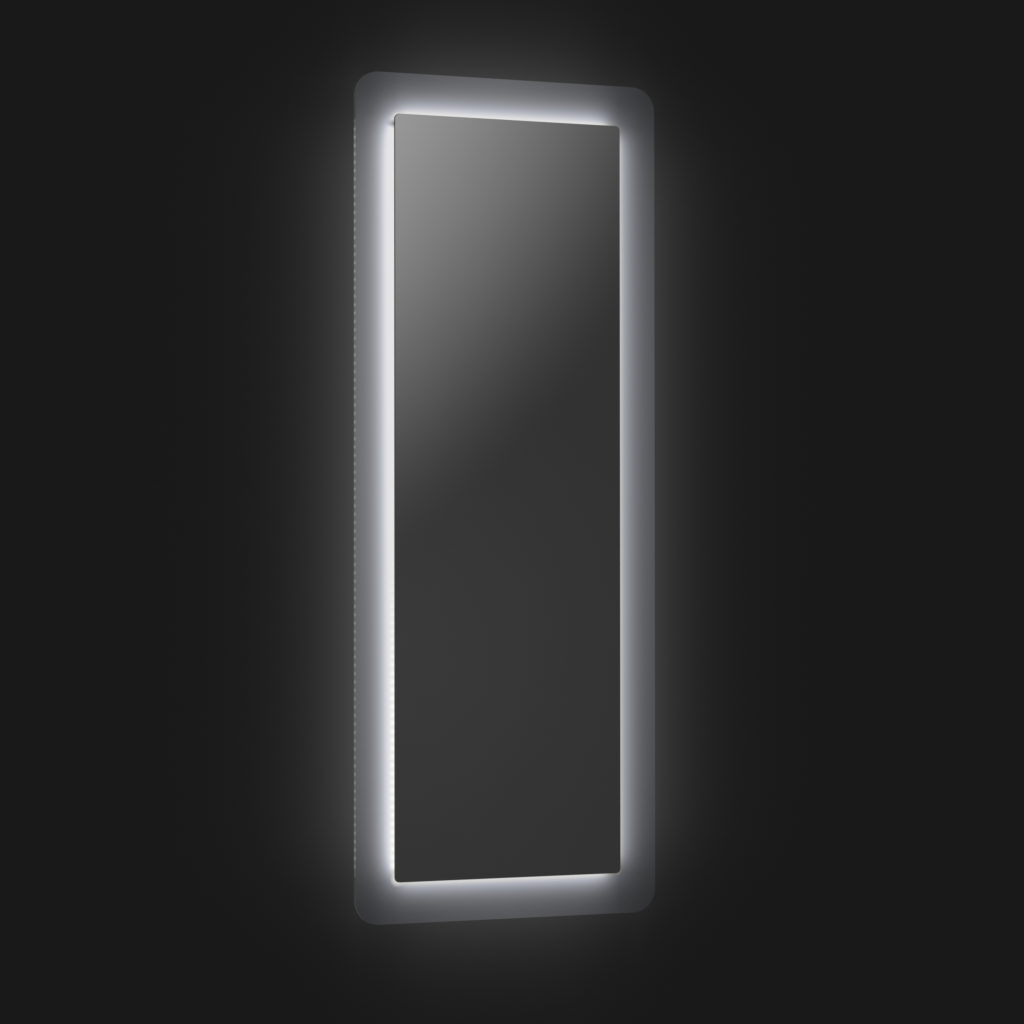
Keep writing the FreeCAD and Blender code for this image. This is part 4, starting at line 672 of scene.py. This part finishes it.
# %% Driver board
TRACK = mm(5)
driver_board, tree, shader, spot = new_finish("lacquered_fibreglass_board", "#215C3C", 0.35)
cells = {"Vector": spot, "Scale": 1 / TRACK}
track = add(tree, "ShaderNodeTexVoronoi", cells, feature="F1", distance="MANHATTAN")
track = add(tree, RANGE, {0: track.outputs["Distance"], 1: 0.35, 2: 0.42})
tint = add(tree, MIX, {0: track, 6: linear("#2F7A50"), 7: linear("#1D5236")}, data_type="RGBA")
gloss = add(tree, RANGE, {0: track, 3: 0.28, 4: 0.4})
plug(shader, Base_Color=tint.outputs[2], Roughness=gloss)
wear(driver_board, "driver_board")

# %% [markdown]
# ## Where the small repeated pieces sit
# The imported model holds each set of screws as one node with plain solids. Before better ones can
# stand in their place, the seat and the direction of each have to be known. A copy of the node is
# merged and split into its separate solids. A screw's axis is the one along which both ends are
# flat discs, and its head is the wider end.

# %% Find the separate solids
MERGED, LEVEL = mm(0.001), mm(0.01)  # points closer than the first are one, closer than the other are level
DISC_POINTS = 6  # an end with more points than this is a disc


def solids_of(name):
    """The separate solids of a node, each as a list of its points."""
    shape = bmesh.new()
    shape.from_mesh(nodes[name].data)
    bmesh.ops.remove_doubles(shape, verts=shape.verts, dist=MERGED)
    for point in shape.verts:
        point.tag = False
    found = []
    for start in shape.verts:
        if start.tag:
            continue
        start.tag, queue, points = True, [start], []
        while queue:
            point = queue.pop()
            points.append(point.co.copy())
            for link in point.link_edges:
                other = link.other_vert(point)
                if not other.tag:
                    other.tag = True
                    queue.append(other)
        found.append(points)
    shape.free()
    return found


def box_of(points):
    """Lowest and highest corner of a list of points."""
    return [Vector([pick(p[axis] for p in points) for axis in range(3)]) for pick in (min, max)]


def off_axis(point, middle, axis):
    """How far a point lies from the line through the middle along an axis."""
    return (point - middle).cross(Matrix.Identity(3)[axis]).length


def screw_place(points):
    """Seat, direction of the head and sizes of one screw."""
    low, high = box_of(points)
    middle = (low + high) / 2
    for axis in range(3):
        ends = [[p for p in points if abs(p[axis] - end) < LEVEL] for end in (low[axis], high[axis])]
        if min(len(end) for end in ends) > DISC_POINTS:
            break
    reach = [max(off_axis(p, middle, axis) for p in end) for end in ends]
    sign = 1 if reach[1] > reach[0] else -1
    head_radius, shank_radius = max(reach), min(reach)
    wide = [p[axis] * sign for p in points if off_axis(p, middle, axis) > head_radius - LEVEL]
    seat, way = middle.copy(), Vector((0, 0, 0))
    seat[axis], way[axis] = min(wide) * sign, sign
    sizes = {
        "Head Radius": head_radius,
        "Head Height": max(wide) - min(wide),
        "Shank Radius": shank_radius,
        "Shank Length": high[axis] - low[axis] - (max(wide) - min(wide)),
    }
    return seat, way, sizes


for name in ("frame_screws", "corner_key_screws", "hanging_screws"):
    seat, way, sizes = screw_place(solids_of(name)[0])
    print(name, tuple(way), {key: round(1000 * size, 2) for key, size in sizes.items()})

# %% [markdown]
# ## Pan-head screws with Geometry Nodes
# Every screw is the same shape: a domed head with a cross recess and a threaded shank with a
# point. One node tree makes it and sets a copy on each seat, so a change to the head changes all
# 43. The head is a short cylinder drawn in towards its top, with two slots cut out by a Boolean.
# The thread is drawn as rings, because a helix wouldn't show at this size. Each screw is left at
# its own turn, as a fitter leaves them, from a fixed seed.

# %% Screw tree


def new_maker(name, takes, gives):
    """An empty Geometry Nodes tree with named inputs, listed by kind, and one output."""
    tree = bpy.data.node_groups.new(name, "GeometryNodeTree")
    for kind, sockets in takes.items():
        for socket in sockets:
            tree.interface.new_socket(socket, in_out="INPUT", socket_type=f"NodeSocket{kind}")
    tree.interface.new_socket(gives, in_out="OUTPUT", socket_type="NodeSocketGeometry")
    return tree


SCREW_SIZES = (
    "Head Radius", "Head Height", "Shank Radius", "Shank Length",
    "Thread Pitch", "Slot Length", "Slot Width",
)
takes = {"Geometry": ["Seats"], "Float": SCREW_SIZES, "Int": ["Seed"], "Material": ["Finish"]}
screws = new_maker("pan_head_screws", takes, "Screws")
given = add(screws, "NodeGroupInput").outputs
spot = add(screws, "GeometryNodeInputPosition")
axes = add(screws, SPLIT, {0: spot})
print(f"{screws.name}: {len(SCREW_SIZES)} sizes")

# %% Screw head
# a cylinder drawn in towards its top
DOME_RISE, DOME_DRAW = 2.6, -0.72  # how late the head draws in, and by how much of its area
blank = {"Radius": given["Head Radius"], "Depth": given["Head Height"]}
blank = add(screws, "GeometryNodeMeshCylinder", {"Vertices": 24, "Side Segments": 6, **blank})
smooth = add(screws, "GeometryNodeSetShadeSmooth", {0: blank.outputs["Mesh"], 1: blank.outputs["Side"]})
rise = add(screws, MATH, {0: axes.outputs["Z"], 1: given["Head Height"]}, "DIVIDE")
rise = add(screws, MATH, {0: rise, 1: 0.5}, "ADD")
rise = add(screws, MATH, {0: rise, 1: DOME_RISE}, "POWER")
rise = add(screws, MATH, {0: rise, 1: DOME_DRAW, 2: 1.0}, "MULTIPLY_ADD")
rise = add(screws, MATH, {0: rise}, "SQRT")
draw = add(screws, COMBINE, {0: rise, 1: rise, 2: 1.0})
draw = add(screws, VECTOR, {0: spot, 1: draw}, "MULTIPLY")
half = add(screws, MATH, {0: given["Head Height"], 1: 0.5}, "MULTIPLY")
lift = add(screws, COMBINE, {2: half})
head = add(screws, "GeometryNodeSetPosition", {0: smooth, 2: draw, 3: lift})
# cross recess: two slots, cut half the head deep
top = add(screws, COMBINE, {2: given["Head Height"]})
slots = []
for first, second in (("Slot Length", "Slot Width"), ("Slot Width", "Slot Length")):
    size = add(screws, COMBINE, {0: given[first], 1: given[second], 2: given["Head Height"]})
    bar = add(screws, "GeometryNodeMeshCube", {"Size": size})
    bar = add(screws, "GeometryNodeTransform", {0: bar, 1: top})
    slots.append(bar)
cut = add(screws, "GeometryNodeMeshBoolean", {0: head, 1: slots}, "DIFFERENCE", solver="EXACT")
print(f"head: {len(screws.nodes)} nodes")

# %% Screw shank
# rings for the thread, and a point
THREAD_ROOT, POINT = 0.8, 0.45  # radius between the rings and at the point, as parts of the shank's
rings = add(screws, MATH, {0: given["Shank Length"], 1: given["Thread Pitch"]}, "DIVIDE")
rings = add(screws, MATH, {0: rings, 1: 2.0}, "MULTIPLY")
rod = {"Radius": given["Shank Radius"], "Depth": given["Shank Length"]}
rod = add(screws, "GeometryNodeMeshCylinder", {"Vertices": 16, "Side Segments": rings, **rod})
half = add(screws, MATH, {0: given["Shank Length"], 1: -0.5}, "MULTIPLY")
drop = add(screws, COMBINE, {2: half})
step = add(screws, MATH, {0: given["Thread Pitch"], 1: 0.5}, "MULTIPLY")
crest = add(screws, MATH, {0: axes.outputs["Z"], 1: step}, "PINGPONG")
crest = add(screws, MATH, {0: crest, 1: step}, "DIVIDE")
crest = add(screws, MATH, {0: crest, 1: 1 - THREAD_ROOT, 2: THREAD_ROOT}, "MULTIPLY_ADD")
tip = add(screws, MATH, {0: half, 1: given["Thread Pitch"]}, "ADD")
tip = add(screws, RANGE, {0: axes.outputs["Z"], 1: half, 2: tip, 3: POINT, 4: 1.0})
crest = add(screws, MATH, {0: crest, 1: tip}, "MULTIPLY")
draw = add(screws, COMBINE, {0: crest, 1: crest, 2: 1.0})
draw = add(screws, VECTOR, {0: spot, 1: draw}, "MULTIPLY")
shank = add(screws, "GeometryNodeSetPosition", {0: rod, 2: draw, 3: drop})
whole = add(screws, "GeometryNodeJoinGeometry", {0: [cut, shank]})
print(f"head and shank: {len(screws.nodes)} nodes")

# %% Screws on their seats
# one on each seat, along its own direction and at its own turn
way = add(screws, "GeometryNodeInputNamedAttribute", {"Name": "way"}, data_type="FLOAT_VECTOR")
aim = add(screws, "FunctionNodeAlignRotationToVector", {"Vector": way}, axis="Z")
spin = add(screws, "FunctionNodeRandomValue", {3: 2 * math.pi, "Seed": given["Seed"]}, data_type="FLOAT")
spin = add(screws, "FunctionNodeAxisAngleToRotation", {"Axis": (0, 0, 1), "Angle": spin.outputs[1]})
aim = add(screws, "FunctionNodeRotateRotation", {0: aim, 1: spin}, rotation_space="LOCAL")
copies = {"Points": given["Seats"], "Instance": whole, "Rotation": aim}
copies = add(screws, "GeometryNodeInstanceOnPoints", copies)
real = add(screws, "GeometryNodeRealizeInstances", {0: copies})
coat = add(screws, "GeometryNodeSetMaterial", {0: real, "Material": given["Finish"]})
add(screws, "NodeGroupOutput", {0: coat})
print(f"{screws.name}: {len(screws.nodes)} nodes")

# %% Set the screws


def made_by(tree, name, places, directions, settings):
    """A mesh that a node tree makes on the given places."""
    mesh = bpy.data.meshes.new(name)
    mesh.from_pydata(places, [], [])
    for direction, vectors in directions.items():
        numbers = [number for vector in vectors for number in vector]
        mesh.attributes.new(direction, "FLOAT_VECTOR", "POINT").data.foreach_set("vector", numbers)
    maker = bpy.data.objects.new(name, mesh)
    bpy.context.scene.collection.objects.link(maker)
    modifier = maker.modifiers.new("maker", "NODES")
    modifier.node_group = tree
    for socket in tree.interface.items_tree:
        if socket.name in settings:
            modifier[socket.identifier] = settings[socket.name]
    depsgraph = bpy.context.evaluated_depsgraph_get()
    result = bpy.data.meshes.new_from_object(maker.evaluated_get(depsgraph), depsgraph=depsgraph)
    maker.modifiers.remove(modifier)
    maker.data = result
    print(f"{name}: {len(places)} places, {len(result.polygons)} faces")
    return maker


THREAD_PITCH, SLOT_LENGTH, SLOT_WIDTH = mm(1), mm(4), mm(0.9)
SCREW_SETS = (
    "frame_screws", "corner_key_screws", "crossbar_screws", "hanging_screws",
    "tray_screws", "driver_screws", "terminal_lid_screws",
)
for seed, name in enumerate(SCREW_SETS):
    found = [screw_place(points) for points in solids_of(name)]
    settings = dict(found[0][2])
    settings.update({"Thread Pitch": THREAD_PITCH, "Slot Length": SLOT_LENGTH, "Slot Width": SLOT_WIDTH})
    settings.update({"Seed": seed, "Finish": plated["zinc_plated_steel"]})
    seats, ways = [seat for seat, way, sizes in found], [way for seat, way, sizes in found]
    piece = made_by(screws, f"pan_head_{name}", seats, {"way": ways}, settings)
    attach(piece, "mirror")
    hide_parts(name)

# %% [markdown]
# ## LEDs with Geometry Nodes
# Each LED is a small white moulded frame with a cushion of yellow phosphor that shines white. There
# are 232, so the shape stays at a few faces: a tapered block and a low many-sided cone. The tree
# marks the cushion's faces with an attribute, and after the copies are made real, that attribute
# picks the faces for the second finish.

# %% LED finishes
FLECK, GRAIN = mm(0.8), mm(0.6)
led_frame, tree, shader, spot = new_finish("moulded_ppa_led_frame", "#EFEFEA", 0.45)
fleck = add(tree, NOISE, {"Vector": spot, "Scale": 1 / FLECK})
tint = add(tree, MIX, {0: fleck, 6: linear("#E6E6E0"), 7: linear("#F4F4F0")}, data_type="RGBA")
plug(shader, Base_Color=tint.outputs[2])
phosphor, tree, shader, spot = new_finish("phosphor_silicone_lit", "#F3E58A", 0.3, Emission_Strength=1.0)
grain = add(tree, NOISE, {"Vector": spot, "Scale": 1 / GRAIN})
glow = add(tree, MIX, {0: grain, 6: linear("#FFF3D6"), 7: linear("#FFFFFF")}, data_type="RGBA")
plug(shader, Emission_Color=glow.outputs[2])
print(led_frame.name, phosphor.name)

# %% LED tree
FRAME_TALL, FRAME_NARROW, LENS_CROWN = 0.9, 0.92, 0.75  # shares of height, width and lens
LED_SIZES, LED_FINISHES = ("Length", "Width", "Height", "Lens Radius"), ("Frame Finish", "Lens Finish")
takes = {"Geometry": ["Places"], "Float": LED_SIZES, "Material": LED_FINISHES}
leds = new_maker("led_rows", takes, "LEDs")
given = add(leds, "NodeGroupInput").outputs
spot = add(leds, "GeometryNodeInputPosition")
axes = add(leds, SPLIT, {0: spot})
# frame: a block that narrows upwards, a little lower than the lens
tall = add(leds, MATH, {0: given["Height"], 1: FRAME_TALL}, "MULTIPLY")
size = add(leds, COMBINE, {0: given["Length"], 1: given["Width"], 2: tall})
block = add(leds, "GeometryNodeMeshCube", {"Size": size})
upper = add(leds, MATH, {0: axes.outputs["Z"], 1: 0.0}, "GREATER_THAN")
narrow = add(leds, RANGE, {0: upper, 3: 1.0, 4: FRAME_NARROW})
draw = add(leds, COMBINE, {0: narrow, 1: narrow, 2: 1.0})
draw = add(leds, VECTOR, {0: spot, 1: draw}, "MULTIPLY")
half = add(leds, MATH, {0: tall, 1: 0.5}, "MULTIPLY")
lift = add(leds, COMBINE, {2: half})
block = add(leds, "GeometryNodeSetPosition", {0: block, 2: draw, 3: lift})
# lens: a low cone on top of the frame, marked for its own finish
crown = add(leds, MATH, {0: given["Lens Radius"], 1: LENS_CROWN}, "MULTIPLY")
low = add(leds, MATH, {0: given["Height"], 1: tall}, "SUBTRACT")
lens = {"Radius Top": crown, "Radius Bottom": given["Lens Radius"], "Depth": low}
lens = add(leds, "GeometryNodeMeshCone", {"Vertices": 10, **lens})
lift = add(leds, COMBINE, {2: tall})
lens = add(leds, "GeometryNodeTransform", {0: lens, 1: lift})
mark = {0: lens, "Name": "lens", "Value": True}
lens = add(leds, "GeometryNodeStoreNamedAttribute", mark, data_type="BOOLEAN", domain="FACE")
whole = add(leds, "GeometryNodeJoinGeometry", {0: [block, lens]})
print(f"one LED: {len(leds.nodes)} nodes")

# %% LEDs on their places
# one on each place, looking out from the tape and lying along it
way = add(leds, "GeometryNodeInputNamedAttribute", {"Name": "way"}, data_type="FLOAT_VECTOR")
run = add(leds, "GeometryNodeInputNamedAttribute", {"Name": "run"}, data_type="FLOAT_VECTOR")
aim = add(leds, "FunctionNodeAlignRotationToVector", {"Vector": way}, axis="Z")
aim = add(leds, "FunctionNodeAlignRotationToVector", {0: aim, "Vector": run}, axis="X", pivot_axis="Z")
copies = {"Points": given["Places"], "Instance": whole, "Rotation": aim}
copies = add(leds, "GeometryNodeInstanceOnPoints", copies)
real = add(leds, "GeometryNodeRealizeInstances", {0: copies})
coat = add(leds, "GeometryNodeSetMaterial", {0: real, "Material": given["Frame Finish"]})
marked = add(leds, "GeometryNodeInputNamedAttribute", {"Name": "lens"}, data_type="BOOLEAN")
coat = add(leds, "GeometryNodeSetMaterial", {0: coat, 1: marked, "Material": given["Lens Finish"]})
add(leds, "NodeGroupOutput", {0: coat})
print(f"{leds.name}: {len(leds.nodes)} nodes")

# %% Set the LEDs
LENS_RADIUS = mm(1.15)
LED_SIDES = {
    # looking out from the tape, along the tape
    "left": (Vector((-1, 0, 0)), Vector((0, 0, 1))),
    "right": (Vector((1, 0, 0)), Vector((0, 0, 1))),
    "top": (Vector((0, 0, 1)), Vector((1, 0, 0))),
    "bottom": (Vector((0, 0, -1)), Vector((1, 0, 0))),
}
for side, (way, run) in LED_SIDES.items():
    places, across = [], Vector((0, 1, 0))
    for points in solids_of(f"led_chips_{side}"):
        low, high = box_of(points)
        size, middle, foot = high - low, (low + high) / 2, min(p.dot(way) for p in points)
        places.append(middle + way * (foot - middle.dot(way)))
    settings = {"Length": abs(size.dot(run)), "Width": size.dot(across), "Height": abs(size.dot(way))}
    settings.update({"Lens Radius": LENS_RADIUS, "Frame Finish": led_frame, "Lens Finish": phosphor})
    directions = {"way": [way] * len(places), "run": [run] * len(places)}
    piece = made_by(leds, f"led_row_{side}", places, directions, settings)
    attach(piece, "mirror")
    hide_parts(f"led_chips_{side}")
